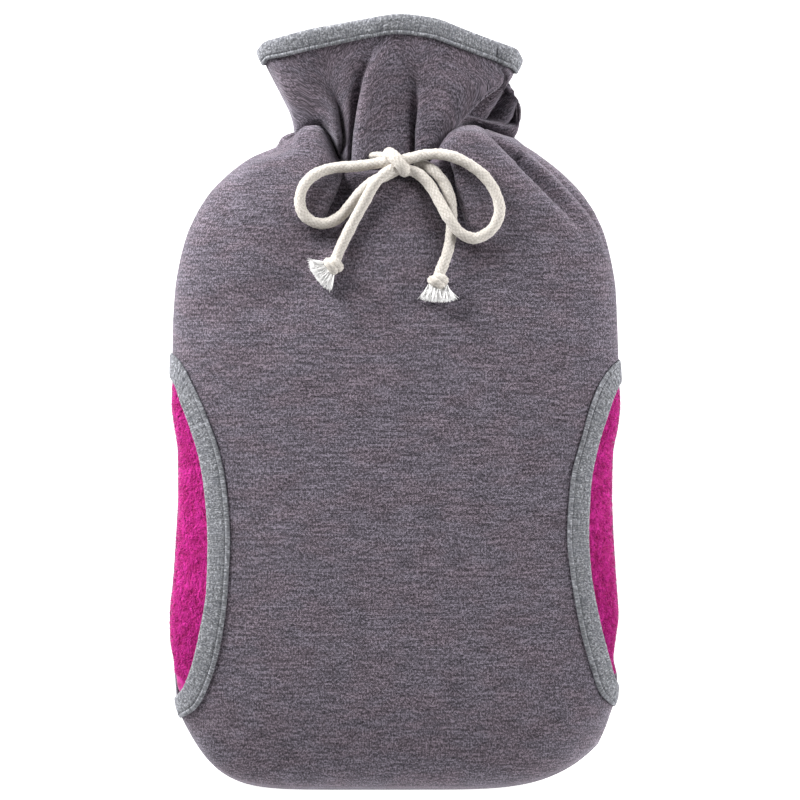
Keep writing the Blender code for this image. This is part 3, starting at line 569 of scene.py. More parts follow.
def back_point(across, along):
    """The outer face of the back, flat where it lies on the surface."""
    across, along = paired(across, along)
    side = side_of(across)
    body_along = np.minimum(along, NECK_ALONG)
    rise = rise_of(along)
    x, end_y, bow = outline(side, body_along)
    neck_y = BACK_NECK_Y + (neck_end(side) - BACK_NECK_Y) * side ** 2
    rim_y = BACK_RIM_Y + (np.where(side < 0, *RIM.rows[[0, -1], 1]) - BACK_RIM_Y) * np.abs(side) ** 2.5
    left, right, collar_seam, collar_base = COLLAR("left right seam back", rise)
    body_seam, body_base = SECTIONS("seam back", body_along)
    in_collar = along > NECK_ALONG
    x = np.where(in_collar, between(left, right, side), x)
    y = np.where(in_collar, neck_y + (rim_y - neck_y) * rise, body_y(side, body_along, end_y, bow, neck_y))
    seam = np.where(in_collar, collar_seam, body_seam)
    base = np.where(in_collar, collar_base, body_base)
    rounding = dome(1 - np.clip(along / BACK_ROUND, 0, 1))
    z = seam - (seam - base + BACK_PRESS) * rounding * dome(side, BACK_POWER)
    nearness = np.exp(-((along - NECK_ALONG) / BACK_FOLD_REACH) ** 2) * dome(side)
    for place, depth in BACK_GATHERS.rows:
        z = z + depth * nearness * np.exp(-((across - place) / BACK_FOLD_WIDTH) ** 2) * (along > FINE_FROM)
    return np.stack([x, y, np.maximum(z, base)], -1)


def outward(surface, across, along, facing=1):
    """Unit normals of a surface, pointing out of the cover."""
    west, east = (np.clip(across + step, -1, 1) for step in (-NORMAL_ACROSS, NORMAL_ACROSS))
    south, north = (np.clip(along + step, 0, COVER_LENGTH) for step in (-NORMAL_ALONG, NORMAL_ALONG))
    sideways = surface(east, along) - surface(west, along)
    normal = np.cross(sideways, surface(across, north) - surface(across, south)) * facing
    return normal / np.maximum(np.linalg.norm(normal, axis=-1, keepdims=True), 1e-9)


def raised(surface, across, along, height, facing=1):
    """A point at a height above a surface's outer face."""
    across, along = paired(across, along)
    return surface(across, along) + outward(surface, across, along, facing) * np.asarray(height)[..., None]


def find_on_body(x, y):
    """The (across, along) of a plan position on the body."""
    along = np.array(y, float)
    for _ in range(40):
        left, right = SECTIONS("left_x right_x", along)
        side = np.clip((x - 0.5 * (left + right)) / (0.5 * (right - left)), -1, 1)
        _, end_y, bow = outline(side, along)
        along = np.clip(along + 0.7 * (y - (along + (end_y - along) * bow)), 0, NECK_ALONG)
    return 2 / math.pi * np.arcsin(side), along


def cutaway_line(table, edge, along):
    """Across of a cut-away's outer fold or inner edge at each section, at the seam beyond it."""
    order = np.linspace(table.rows[0, 0], table.rows[-1, 0], CUTAWAY_SAMPLES)
    across, at = find_on_body(table(edge + "_x", order), table(edge + "_y", order))
    upward = np.argsort(at)
    seam = np.sign(across[0])
    return np.interp(along, at[upward], across[upward], left=seam, right=seam)


def along_from_rim(surface, across, inward):
    """The along of places a distance in from the rim."""
    lengths = surface(across, COVER_LENGTH)[..., 1] - surface(across, NECK_ALONG + 0.01)[..., 1]
    return COVER_LENGTH - inward * (COVER_LENGTH - NECK_ALONG) / lengths


def metres(points):
    """Places in the tables' millimetres as metres from the part's origin, one after another."""
    return ((np.asarray(points, float) - ORIGIN) * MM).reshape(-1, 3)


def smooth_route(points, step):
    """Places a step apart on a smooth curve through a route's own points."""
    points = np.array(points, float)
    padded = np.concatenate([[2 * points[0] - points[1]], points, [2 * points[-1] - points[-2]]])
    t = np.linspace(0, 1, ROUTE_SAMPLES, endpoint=False)[:, None]
    stretches = []
    for before, start, end, after in zip(padded, padded[1:], padded[2:], padded[3:]):
        square = 2 * before - 5 * start + 4 * end - after
        cube = 3 * start - before - 3 * end + after
        stretches.append(start + 0.5 * ((end - before) * t + square * t ** 2 + cube * t ** 3))
    places = np.concatenate([*stretches, points[-1:]])
    run = run_of(places)
    even = np.linspace(0, run[-1], max(2, round(run[-1] / step) + 1))
    return np.stack([np.interp(even, run, places[:, axis]) for axis in range(3)], -1)


def new_piece(name, points, faces, material, uv=None):
    """A finished mesh piece that rides on the cover; uv holds one pair for each point, in metres."""
    mesh = bpy.data.meshes.new(name)
    mesh.from_pydata(metres(points).tolist(), [], faces)
    if uv is not None:
        corners = np.zeros(len(mesh.loops), np.int32)
        mesh.loops.foreach_get("vertex_index", corners)
        layer = mesh.uv_layers.new(name="cloth")
        layer.data.foreach_set("uv", np.asarray(uv, np.float32)[corners].ravel())
    mesh.materials.append(material)
    mesh.shade_smooth()
    piece = bpy.data.objects.new(name, mesh)
    bpy.context.scene.collection.objects.link(piece)
    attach(piece, "root")
    return piece


def grid_faces(rows, columns, close_rows=False, close_columns=False):
    """Quads of a grid of points, facing the way that turns from columns to rows."""
    r = np.arange(rows if close_rows else rows - 1)[:, None]
    c = np.arange(columns if close_columns else columns - 1)[None, :]
    r2 = (r + 1) % rows
    c2 = (c + 1) % columns
    quads = np.stack([r * columns + c, r * columns + c2, r2 * columns + c2, r2 * columns + c], -1)
    return quads.reshape(-1, 4).tolist()


def arc_uv(surface, across, along):
    """Cloth coordinates in metres: distance sideways from the cover's middle line, and up the cloth."""
    points = surface(*np.meshgrid(np.linspace(-1, 1, UV_COLUMNS), np.linspace(0, COVER_LENGTH, UV_ROWS)))
    c = np.clip((across + 1) / 2 * (UV_COLUMNS - 1), 0, UV_COLUMNS - 1.001)
    r = np.clip(along / COVER_LENGTH * (UV_ROWS - 1), 0, UV_ROWS - 1.001)
    c0, r0 = c.astype(int), r.astype(int)
    cloth = []
    for axis, middle in ((1, UV_COLUMNS // 2), (0, UV_ROWS // 3)):
        steps = np.linalg.norm(np.diff(points, axis=axis), axis=-1)
        run = np.insert(np.cumsum(steps, axis), 0, 0, axis)
        run = run - np.take(run, [middle], axis)
        low = run[r0, c0] * (1 - c + c0) + run[r0, c0 + 1] * (c - c0)
        high = run[r0 + 1, c0] * (1 - c + c0) + run[r0 + 1, c0 + 1] * (c - c0)
        cloth.append(low + (high - low) * (r - r0))
    return np.stack(cloth, -1).reshape(-1, 2) * MM


def thicken(piece, thickness):
    """Gives a sheet its thickness, inward from the face it was modelled on."""
    bpy.ops.object.select_all(action="DESELECT")
    bpy.context.view_layer.objects.active = piece
    piece.select_set(True)
    solidify = piece.modifiers.new("thickness", "SOLIDIFY")
    solidify.thickness = thickness * MM
    solidify.offset = -1
    bpy.ops.object.modifier_apply(modifier=solidify.name)
    return piece


def cloth_sheet(name, points, uv, thickness, material):
    piece = new_piece(name, points, grid_faces(*points.shape[:2]), material, uv)
    return thicken(piece, thickness)


def spread(low, high, count, crowding):
    """Even places from low to high, drawn towards the middle by crowding (0 leaves them even)."""
    s = np.linspace(-1, 1, count)
    return low + (high - low) * 0.5 * (1 + (1 - crowding) * s + crowding * s ** 3)


def into_seam(points, across):
    """Draws a sheet's side edges into the seam, so that a fine crease shows along it."""
    edge = soft_step((np.abs(across) - SEAM_STARTS) / (1 - SEAM_STARTS))
    points[..., 0] -= SEAM_DIP * edge * np.sign(across)
    return points


def collar_rows(surface, across, count):
    """Rows of a panel's collar, from just above the drawcord to under the rim's tape."""
    end = along_from_rim(surface, across, RIM_LEFT_OVER)
    return COLLAR_FROM + (end - COLLAR_FROM) * np.linspace(0, 1, count)[:, None]


def front_panel(material):
    """One piece of jersey from the bottom seam to the rim, cut away in a curve at both sides."""
    body = np.concatenate([
        FINE_FROM * np.linspace(0, 1, FRONT_BODY_ROWS, endpoint=False) ** 1.15,
        NECK_ALONG - (NECK_ALONG - FINE_FROM) * np.linspace(1, 0, FRONT_NECK_ROWS) ** 1.5,
    ])
    edges = []
    for table, seam in CUTAWAYS:
        outer = cutaway_line(table, "outer", body)
        inner = cutaway_line(table, "inner", body)
        edges.append(np.where(outer == seam, seam, outer + (inner - outer) * PANEL_UNDER_TAPE)[:, None])
    share = spread(0, 1, FRONT_COLUMNS, 0.38)
    collar_across = spread(-1, 1, FRONT_COLUMNS, 0.38)
    collar_along = collar_rows(front_point, collar_across, FRONT_COLLAR_ROWS)
    across = np.concatenate([edges[0] * (1 - share) + edges[1] * share, collar_across + 0 * collar_along])
    along = np.concatenate([body[:, None] + 0 * share, collar_along])
    points = into_seam(front_point(across, along), across)
    uv = arc_uv(front_point, across, along)
    return cloth_sheet("front_panel_jersey", points, uv, JERSEY_THICK, material)


def back_panel(material):
    """The plain back, gathered under the drawcord and pressed flat where it lies."""
    across = spread(1, -1, 130, 0.1)
    body = np.concatenate([230 * np.linspace(0, 1, 60, endpoint=False) ** 1.3, np.linspace(230, NECK_ALONG, 50)])
    along = np.concatenate([body[:, None] + 0 * across, collar_rows(back_point, across, 50)])
    across = across + 0 * along
    points = into_seam(back_point(across, along), across)
    lift = 0.35 * (1 + ripple(points[..., 0], points[..., 1], 30, 8))
    points[..., 2] += np.where(points[..., 2] > 3, lift * 0.5, 0)
    uv = arc_uv(back_point, across, along)
    return cloth_sheet("back_panel_jersey", points, uv, JERSEY_THICK, material)


def plush_surface(across, along):
    """The plush under the front, rising to the side seams through the cut-aways."""
    across, along = paired(across, along)
    sink = np.full(across.shape, PLUSH_SINK)
    for table, seam in CUTAWAYS:
        fold = cutaway_line(table, "outer", along)
        strip = np.abs(fold - seam)
        beyond = (np.abs(across) - np.abs(fold)) * (np.sign(across) == seam)
        opened = soft_step(strip / OPEN_STRIP)
        sink = sink - (PLUSH_SINK - PILE_INSET) * opened * soft_step(beyond / np.maximum(strip, 1e-6))
    return raised(front_point, across, along, -sink)


def plush_panel(material):
    """The pocket's plush lining panel, seen at both cut-aways."""
    share = np.linspace(-1, 1, 150)
    along = np.linspace(4, 216, 190)[:, None]
    across = np.sign(share) * (1 - (1 - np.abs(share)) ** 1.25) + 0 * along
    points = into_seam(plush_surface(across, along), across)
    points[..., 2] += 0.25 * ripple(points[..., 0], points[..., 1], 11, 21)
    uv = arc_uv(front_point, across, along + 0 * across)
    return cloth_sheet("plush_panel_pink", points, uv, PLUSH_THICK, material)


def plush_pile(material):
    """Short leaning hairs of the plush, on the strips that show: each a bent pair of slim blades."""
    rng = np.random.default_rng(11)
    seam = rng.choice([-1.0, 1.0], PILE_COUNT)
    along = rng.uniform(34, 212, PILE_COUNT)
    left, right = (cutaway_line(table, "outer", along) for table, _ in CUTAWAYS)
    fold = np.where(seam < 0, left, right)
    across = fold * 0.985 + (seam * 0.999 - fold * 0.985) * rng.uniform(0, 1, PILE_COUNT)
    shown = np.abs(fold - seam) > 0.012
    across, along, seam = across[shown], along[shown], seam[shown]
    root = plush_surface(across, along)
    normal = outward(plush_surface, across, along)
    nap = np.stack([0.5 * seam, -0.75 + 0 * seam, 0 * seam], -1)
    lean = nap + rng.normal(0, 0.45, nap.shape)
    lean -= normal * np.sum(lean * normal, -1, keepdims=True)
    length = PILE_LENGTH * rng.uniform(0.6, 1.15, len(root))[:, None]
    turn = np.cross(normal, lean)
    half = 0.5 * PILE_WIDTH * turn / np.linalg.norm(turn, axis=-1, keepdims=True)
    middle = root + length * (0.55 * normal + 0.35 * lean)
    tip = middle + length * (0.25 * normal + 0.55 * lean)
    points = np.stack([root - half, root + half, middle - half, middle + half, tip], 1)
    base = 5 * np.arange(len(root))[:, None]
    faces = (base + [0, 1, 3, 2]).tolist() + (base + [2, 3, 4]).tolist()
    return new_piece("plush_pile", points, faces, material)


def tape_profile(width):
    """Across a folded tape's outer face: (inward, height) from its inner edge over the fold and back."""
    middle = 0.5 * (TAPE_PROUD - TAPE_UNDER)
    reach = TAPE_PROUD - middle
    edge = ((0, -0.75), (0.15, -0.15), (0.5, 0.1), (0.9, -0.05), (1.25, -0.5), (1.8, -0.1))
    top = [(width - back, TAPE_PROUD + lift) for back, lift in edge]
    top += [(place, TAPE_PROUD + 0.15) for place in np.linspace(width - 3, reach + 0.6, 7)]
    turn = [(reach * (1 - math.sin(a)), middle + reach * math.cos(a)) for a in np.linspace(0, math.pi, 9)]
    under = [(place, -TAPE_UNDER) for place in np.linspace(reach + 0.6, width - 1, 5)]
    return np.array(top + turn + under)


def tape_piece(name, grid, closed, material):
    """A tape from its grid of stations and profile points, thickened inward."""
    uv = np.stack(np.meshgrid(run_of(grid[:, 4]), run_of(grid[len(grid) // 2]), indexing="ij"), -1)
    faces = grid_faces(*grid.shape[:2], close_rows=closed)
    return thicken(new_piece(name, grid, faces, material, uv.reshape(-1, 2) * MM), TAPE_THICK)


def trimmed_at_seam(outer, inner):
    """The share of the way in from a cut-away's outer fold at which a station clears the seam."""
    t = np.linspace(0, 1, 60)
    place = outer + (inner - outer) * t[:, None]
    clear = np.abs(find_on_body(place[:, 0], place[:, 1])[0]) < 0.985
    return t[np.argmax(clear)] if clear.any() else 1.0


def side_tape(name, table, material):
    """The binding of a cut-away, from one end at the side seam to the other."""
    starts, ends, widths = [], [], []
    for order in np.linspace(0.3, table.rows[-1, 0] - 0.3, 330):
        outer = np.array(table("outer_x outer_y", order))
        inner = np.array(table("inner_x inner_y", order))
        start = trimmed_at_seam(outer, inner)
        if start < 0.9:
            starts.append(outer + (inner - outer) * start)
            ends.append(inner)
            widths.append(np.linalg.norm(inner - outer) * (1 - start))
    starts, ends = np.array(starts)[:, None], np.array(ends)[:, None]
    inward, height = tape_profile(SIDE_TAPE_WIDTH).T
    share = np.clip(inward / SIDE_TAPE_WIDTH, 0, 1)
    place = starts + (ends - starts) * share[None, :, None]
    across, along = find_on_body(place[..., 0], place[..., 1])
    station = np.arange(len(widths))[:, None]
    pucker = 0.10 * np.sin(station * 0.9) + 0.06 * np.sin(station * 0.37)
    wide = np.array(widths)[:, None] / SIDE_TAPE_WIDTH
    near_seam = 0.25 + 0.75 * soft_step((1 - np.abs(across)) / 0.10)
    height = (height + pucker * (height > 0)) * np.clip(0.35 + 0.65 * wide, 0, 1) * near_seam
    grid = raised(front_point, across, along, height)
    if table is LEFT_CUTAWAY:
        grid = grid[::-1]
    return tape_piece(name, grid, False, material), grid


def rim_tape(name, material):
    """The binding around the mouth, over the front from left to right and back below."""
    inward, height = tape_profile(COLLAR_TAPE_WIDTH).T
    over = (front_point, spread(-1, 1, 240, 0.2)[:, None], 1)
    below = (back_point, spread(1, -1, 130, 0.1)[1:-1, None], -1)
    rings = []
    for surface, across, facing in (over, below):
        depth = inward * (1 - 0.2 * np.abs(side_of(across)) ** 12)
        across = across + 0 * depth
        rings.append(raised(surface, across, along_from_rim(surface, across, depth), height + 0 * depth, facing))
    grid = np.concatenate(rings)
    return tape_piece(name, grid, True, material), grid


def add_rings(points, faces, rings):
    """Adds a slim closed form, given as rings of points from one end to the other."""
    base = len(points)
    count, sides, _ = np.shape(rings)
    points += np.reshape(rings, (-1, 3)).tolist()
    faces += (np.array(grid_faces(count, sides, close_columns=True))[:, ::-1] + base).tolist()
    faces.append([base + k for k in range(sides)])
    faces.append([base + count * sides - 1 - k for k in range(sides)])


def stitches(name, line, above, length, gap, radius, material):
    """A row of short thread stitches along a line of points, each a slim rounded grain."""
    run = run_of(line)

    def read(values, s):
        return np.stack([np.interp(s, run, values[:, axis]) for axis in range(3)], -1)

    share, swell = np.array(((0, 0.15), (0.12, 0.8), (0.35, 1), (0.65, 1), (0.88, 0.8), (1, 0.15))).T
    turn = np.linspace(0, 2 * math.pi, STITCH_SIDES, endpoint=False)[None, :, None]
    arch = radius * (1.1 * np.sin(math.pi * share) - 0.5)
    points, faces = [], []
    for start in np.arange(0, run[-1] - length, length + gap):
        forward = read(line, start + length) - read(line, start)
        forward /= max(np.linalg.norm(forward), 1e-9)
        side = np.cross(forward, read(above, start + 0.5 * length))
        side /= max(np.linalg.norm(side), 1e-9)
        up = np.cross(side, forward)
        middle = read(line, start + share * length) + arch[:, None] * up
        around = side * np.cos(turn) + up * np.sin(turn)
        add_rings(points, faces, middle[:, None] + radius * swell[:, None, None] * around)
    return new_piece(name, points, faces, material)


def tube(route, radius):
    """Points, faces, cloth coordinates and middle line of a braided cord, its ends closed."""
    centre = smooth_route(route, CORD_STATION)
    tangent = np.gradient(centre, axis=0)
    tangent /= np.linalg.norm(tangent, axis=1, keepdims=True)
    across = np.cross(tangent[0], (0.0, 0.0, 1.0))
    frames = []
    for direction in tangent:
        across = across - direction * np.dot(across, direction)
        across /= np.linalg.norm(across)
        frames.append(across)
    across = np.array(frames)[:, None]
    up = np.cross(tangent[:, None], across)
    run = run_of(centre)[:, None]
    angle = np.linspace(0, 2 * math.pi, CORD_SIDES, endpoint=False)[None, :]
    strand = 0.5 * BRAID_STRANDS * angle
    twist = math.pi * run / BRAID_PITCH
    knob = (np.abs(np.sin(strand + twist)) * np.abs(np.sin(strand - twist))) ** BRAID_SHAPE
    uneven = 0.03 * np.sin(run / 3.1) + 0.025 * np.sin(run / 1.3 + 2 * angle) + 0.02 * np.sin(run / 0.7 + angle)
    size = ((radius + BRAID_RELIEF * (knob - 0.75)) * (1 + uneven))[..., None]
    walls = centre[:, None] + size * (across * np.cos(angle)[..., None] + up * np.sin(angle)[..., None])
    points = np.concatenate([walls.reshape(-1, 3), centre[:1], centre[-1:]])
    rings = len(centre)
    faces = grid_faces(rings, CORD_SIDES, close_columns=True)
    for ring, pole, order in ((0, len(points) - 2, 1), (rings - 1, len(points) - 1, -1)):
        for k in range(CORD_SIDES):
            pair = (ring * CORD_SIDES + k, ring * CORD_SIDES + (k + 1) % CORD_SIDES)
            faces.append([pole, *pair[::-order]])
    uv = np.stack(np.broadcast_arrays(run, angle * radius), -1).reshape(-1, 2)
    uv = np.concatenate([uv, uv[:1], uv[-1:]]) * MM
    return points, [face[::-1] for face in faces], uv, centre


def cord_piece(name, tubes, material):
    """Lengths of braided cord joined into one piece."""
    points, faces, uv = [], [], []
    for one, two, three, _ in tubes:
        faces += [[i + len(points) for i in face] for face in two]
        points += one.tolist()
        uv += three.tolist()
    return new_piece(name, points, faces, material, uv)


def end_knot(name, middle, axis, reach, material):
    """An end knot: the cord's own turns around its last stretch, both ends tucked in."""
    axis = np.array(axis, float) / np.linalg.norm(axis)
    middle = np.array(middle)
    side = np.cross(axis, (0, 0, 1))
    side /= np.linalg.norm(side)
    over = np.cross(side, axis)
    turns = []
    for share in np.linspace(0, 1, 18):
        angle = 0.6 + 2 * math.pi * 1.45 * share
        out = 3.1 * (0.25 + 0.75 * math.sin(math.pi * share) ** 0.5)
        place = middle + axis * reach * (2 * share - 1)
        turns.append(place + out * (side * math.cos(angle) + over * math.sin(angle)))
    core = [middle + axis * place for place in (-2, -0.5, 1.4, 3.2)]
    return cord_piece(name, [tube(core, 2.65), tube(turns, 2.35)], material)


def frayed_tuft(name, root, heading, fan, length, spread_out, seed, material):
    """The cord's combed-out strands: many slim bent hairs fanning from the end knot."""
    rng = np.random.default_rng(seed)
    forward = np.array([math.cos(math.radians(heading)), math.sin(math.radians(heading)), 0.0])
    sideways = np.array([-forward[1], forward[0], 0.0])
    up = np.array([0.0, 0.0, 1.0])
    turn = np.linspace(0, 2 * math.pi, 3, endpoint=False)[None, :, None]
    share = np.linspace(0, 1, 6)[:, None]
    around = sideways * np.cos(turn) + up * np.sin(turn)
    points, faces = [], []
    for _ in range(900):
        place = rng.uniform(-1, 1)
        angle = math.radians(fan) * place + rng.normal(0, 0.10)
        lift = rng.uniform(-0.42, 0.34)
        reach = length * (1 - 0.12 * place * place) * rng.uniform(0.78, 1.06)
        start = np.array(root) + sideways * place * spread_out + up * rng.uniform(-1.6, 1.6)
        way = forward * math.cos(angle) + sideways * math.sin(angle) + up * lift
        curl = sideways * rng.normal(0, 0.16) + up * rng.normal(-0.14, 0.14)
        thin = rng.uniform(0.22, 0.38) * (1 - 0.55 * share ** 3)
        middle = start + way * reach * share + curl * reach * share * share
        add_rings(points, faces, middle[:, None] + thin[..., None] * around)
    return new_piece(name, points, faces, material)


class Nodes:
    """Adds nodes to a shader tree. A value that is a socket is linked, and any other is set."""

    def __init__(self, tree):
        self.tree = tree

    def put(self, socket, value):
        if isinstance(value, bpy.types.NodeSocket):
            self.tree.links.new(value, socket)
        else:
            socket.default_value = value

    def add(self, kind, settings=(), **values):
        """A new node; an input is named, with _ for a space, or numbered, as i0."""
        made = self.tree.nodes.new("ShaderNode" + kind)
        for key, value in dict(settings).items():
            setattr(made, key, value)
        for key, value in values.items():
            self.put(made.inputs[int(key[1:]) if key[1:].isdigit() else key.replace("_", " ")], value)
        return made

    def calc(self, operation, *values):
        made = self.add("Math", {"operation": operation})
        for socket, value in zip(made.inputs, values):
            self.put(socket, value)
        return made.outputs[0]

    def times(self, one, two):
        return self.calc("MULTIPLY", one, two)

    def mix(self, factor, one, two):
        return self.add("Mix", {"data_type": "RGBA"}, i0=factor, i6=one, i7=two).outputs[2]

    def noise(self, vector, scale, stretch=(1, 1, 1), detail=2.0, rough=0.5, offset=(0, 0, 0)):
        """Noise over cloth coordinates, scale per metre, stretched by its own factors."""
        mapping = self.add("Mapping", Vector=vector, Scale=stretch, Location=offset)
        made = self.add("TexNoise", Vector=mapping.outputs[0], Scale=scale, Detail=detail, Roughness=rough)
        return made.outputs[0]

    def ramp(self, value, low, high):
        """A soft step of a value from 0 at low to 1 at high."""
        settings = {"interpolation_type": "SMOOTHSTEP"}
        return self.add("MapRange", settings, Value=value, From_Min=low, From_Max=high).outputs[0]

    def cloth(self):
        """The piece's own cloth coordinates, whole and as their two parts."""
        vector = self.add("UVMap", {"uv_map": "cloth"}).outputs[0]
        parts = self.add("SeparateXYZ", i0=vector).outputs
        return vector, parts[0], parts[1]

    def heather(self, vector, base, tint, flecks, streaks):
        return self.add("Group", {"node_tree": HEATHER}, Vector=vector, Base=base, Tint=tint,
                        Flecks=flecks, Streaks=streaks).outputs

    def finish(self, color, height, distance, strength=0.8):
        """Leads a colour and a relief to the material's shader."""
        shader = self.tree.nodes["Principled BSDF"].inputs
        self.put(shader["Base Color"], color)
        relief = self.add("Bump", Height=height, Distance=distance, Strength=strength)
        self.put(shader["Normal"], relief.outputs[0])


def new_material(name, **settings):
    """A material whose shader has the given settings, and its nodes."""
    material = bpy.data.materials.new(name)
    material.use_nodes = True
    shader = material.node_tree.nodes["Principled BSDF"]
    for key, value in settings.items():
        shader.inputs[key.replace("_", " ")].default_value = value
    return material, Nodes(material.node_tree)


def new_cloth(name, roughness, sheen, sheen_roughness, sheen_tint):
    return new_material(name, Roughness=roughness, Sheen_Weight=sheen, Sheen_Roughness=sheen_roughness,
                        Sheen_Tint=sheen_tint, Specular_IOR_Level=0.2)


def heather_group():
    """Melange yarn: fine light and dark flecks, short crosswise streaks and slow colour drift."""
    tree = bpy.data.node_groups.new("heather yarn", "ShaderNodeTree")
    for label, kind, value in (("Vector", "Vector", None), ("Base", "Color", (0.1, 0.1, 0.1, 1)),
                               ("Tint", "Color", (0.1, 0.1, 0.2, 1)), ("Flecks", "Float", 5.0),
                               ("Streaks", "Float", 2.0)):
        socket = tree.interface.new_socket(name=label, in_out="INPUT", socket_type="NodeSocket" + kind)
        if value is not None:
            socket.default_value = value
    for label, kind in (("Color", "Color"), ("Fleck", "Float")):
        tree.interface.new_socket(name=label, in_out="OUTPUT", socket_type="NodeSocket" + kind)
    given = tree.nodes.new("NodeGroupInput").outputs
    result = tree.nodes.new("NodeGroupOutput").inputs
    n = Nodes(tree)
    fine = n.noise(given["Vector"], 1150, (1.15, 0.88, 1), 1.5, 0.6)
    coarse = n.noise(given["Vector"], 640, (0.85, 1.25, 1), 2, 0.6, (0.31, 0.17, 0.5))
    streak = n.noise(given["Vector"], 330, (0.25, 2.0, 1), 2, 0.6, (0.7, 0.2, 0.9))
    patch = n.noise(given["Vector"], 75, (0.6, 1.3, 1), 3, 0.6, (0.1, 0.6, 0.3))
    fleck = n.calc("SUBTRACT", n.calc("ADD", fine, n.times(coarse, 0.6)), 0.8)
    lines = n.times(n.calc("SUBTRACT", streak, 0.5), given["Streaks"])
    both = n.calc("ADD", n.times(fleck, given["Flecks"]), lines)
    light = n.calc("POWER", math.e, n.calc("MINIMUM", both, BRIGHTEST_FLECK))
    base = n.mix(n.ramp(patch, 0.40, 0.62), given["Base"], given["Tint"])
    n.put(result["Color"], n.add("VectorMath", {"operation": "SCALE"}, i0=base, Scale=light).outputs[0])
    n.put(result["Fleck"], fleck)
    return tree


def jersey_material():
    """Sweat jersey: rows of small V loops under loose fibres, in heather yarn."""
    material, n = new_cloth("heather jersey", 0.95, 0.36, 0.45, (0.80, 0.76, 0.86, 1))
    cloth, sideways, upward = n.cloth()
    yarn = n.heather(cloth, (0.097, 0.085, 0.105, 1), (0.102, 0.083, 0.101, 1), 4.9, 2.4)
    column = n.calc("DIVIDE", sideways, LOOP_WIDTH)
    row = n.calc("DIVIDE", upward, LOOP_HEIGHT)
    slope = n.calc("ADD", row, n.times(n.calc("PINGPONG", column, 0.5), 1.1))
    loops = n.calc("SINE", n.times(slope, 2 * math.pi))
    wale = n.calc("COSINE", n.times(column, 2 * math.pi))
    knit = n.calc("ADD", n.times(loops, 0.3), n.times(wale, 0.2))
    fibres = n.times(n.noise(cloth, 1300, detail=4, rough=0.7), 1.6)
    n.finish(yarn["Color"], n.calc("ADD", knit, fibres), 0.00022)
    return material


def rib_material():
    """Rib tape: fine uneven ribs across it, with painted shade in the groove beside its row of stitches and along
    its inner edge.
    """
    material, n = new_cloth("light grey rib", 0.95, 0.25, 0.4, (0.9, 0.92, 1, 1))
    cloth, _, over = n.cloth()
    yarn = n.heather(cloth, (0.178, 0.181, 0.196, 1), (0.170, 0.174, 0.186, 1), 3.6, 0.0)
    hairline = n.noise(cloth, 900, (1.25, 0.16, 1), 2, 0.6, (0.2, 0.4, 0.1))
    broad = n.noise(cloth, 190, (1, 0.2, 1), 2, 0.5, (0.5, 0.1, 0.3))
    color = n.mix(n.times(n.ramp(hairline, 0.50, 0.66), 0.62), yarn["Color"], (0.075, 0.078, 0.092, 1))
    color = n.mix(n.times(n.ramp(broad, 0.5, 0.7), 0.3), color, (0.15, 0.155, 0.175, 1))
    # painted shade: a dark line in the groove beside the stitches, and a dark band at the tape's inner edge
    groove_shade = n.calc("COMPARE", over, SHADED_GROOVE_PLACE * MM, SHADED_GROOVE_HALF * MM)
    lines = n.calc("MAXIMUM", groove_shade, n.calc("LESS_THAN", over, PAINTED_EDGE_SHADE_WIDTH * MM))
    color = n.mix(n.times(lines, 0.85), color, (0.05, 0.05, 0.06, 1))
    n.finish(color, n.calc("SUBTRACT", yarn["Fleck"], n.times(hairline, 2.0)), 0.0003)
    return material


def plush_material(name, deep):
    """Pile colour: lighter at the tips, darker where it parts."""
    material, n = new_cloth(name, 0.75, 1.0, 0.32, (1.0, 0.72, 0.90, 1))
    place = n.add("TexCoord").outputs["Object"]
    parting = n.noise(place, 420, (1, 0.6, 0.5), 4, 0.65)
    patch = n.noise(place, 70, detail=3, rough=0.6)
    color = n.mix(n.ramp(parting, 0.35, 0.65), deep, (0.54, 0.018, 0.27, 1))
    color = n.mix(n.times(n.ramp(patch, 0.4, 0.7), 0.4), color, (0.43, 0.010, 0.19, 1))
    n.finish(color, parting, 0.0008)
    return material


def cord_material():
    """Natural cotton, with painted shade in the grooves between the braid's crossing strands."""
    material, n = new_cloth("braided cotton", 0.9, 0.3, 0.4, (1, 0.98, 0.94, 1))
    cloth, run, turn = n.cloth()
    along = n.times(run, math.pi / (BRAID_PITCH * MM))
    around = n.times(turn, 0.5 * BRAID_STRANDS / (CORD_RADIUS * MM))
    waves = [n.calc("ABSOLUTE", n.calc("SINE", n.calc(way, around, along))) for way in ("ADD", "SUBTRACT")]
    knob = n.calc("POWER", n.times(*waves), BRAID_SHAPE)
    fuzz = n.noise(cloth, 1100, detail=4, rough=0.7)
    patch = n.noise(cloth, 120, detail=3, rough=0.6)
    color = n.mix(n.ramp(fuzz, 0.35, 0.62), (0.43, 0.395, 0.36, 1), (0.63, 0.595, 0.555, 1))
    color = n.mix(n.times(n.ramp(patch, 0.45, 0.7), 0.4), color, (0.51, 0.475, 0.43, 1))
    # painted shade: darker where the braid's strands dip into their grooves
    color = n.mix(n.times(n.ramp(knob, 0.62, 0.1), 0.55), color, (0.30, 0.27, 0.22, 1))
    n.finish(color, n.calc("ADD", n.times(knob, 0.8), fuzz), 0.00025)
    return material


def plain_yarn(name, dark, light):
    """Loose strands and sewing thread: one colour with a little variation from hair to hair."""
    material, n = new_cloth(name, 0.85, 0.3, 0.4, (1, 1, 1, 1))
    grain = n.noise(n.add("TexCoord").outputs["Object"], 1500, detail=3, rough=0.6)
    n.finish(n.mix(n.ramp(grain, 0.3, 0.65), dark, light), grain, 0.0001, 0.5)
    return material


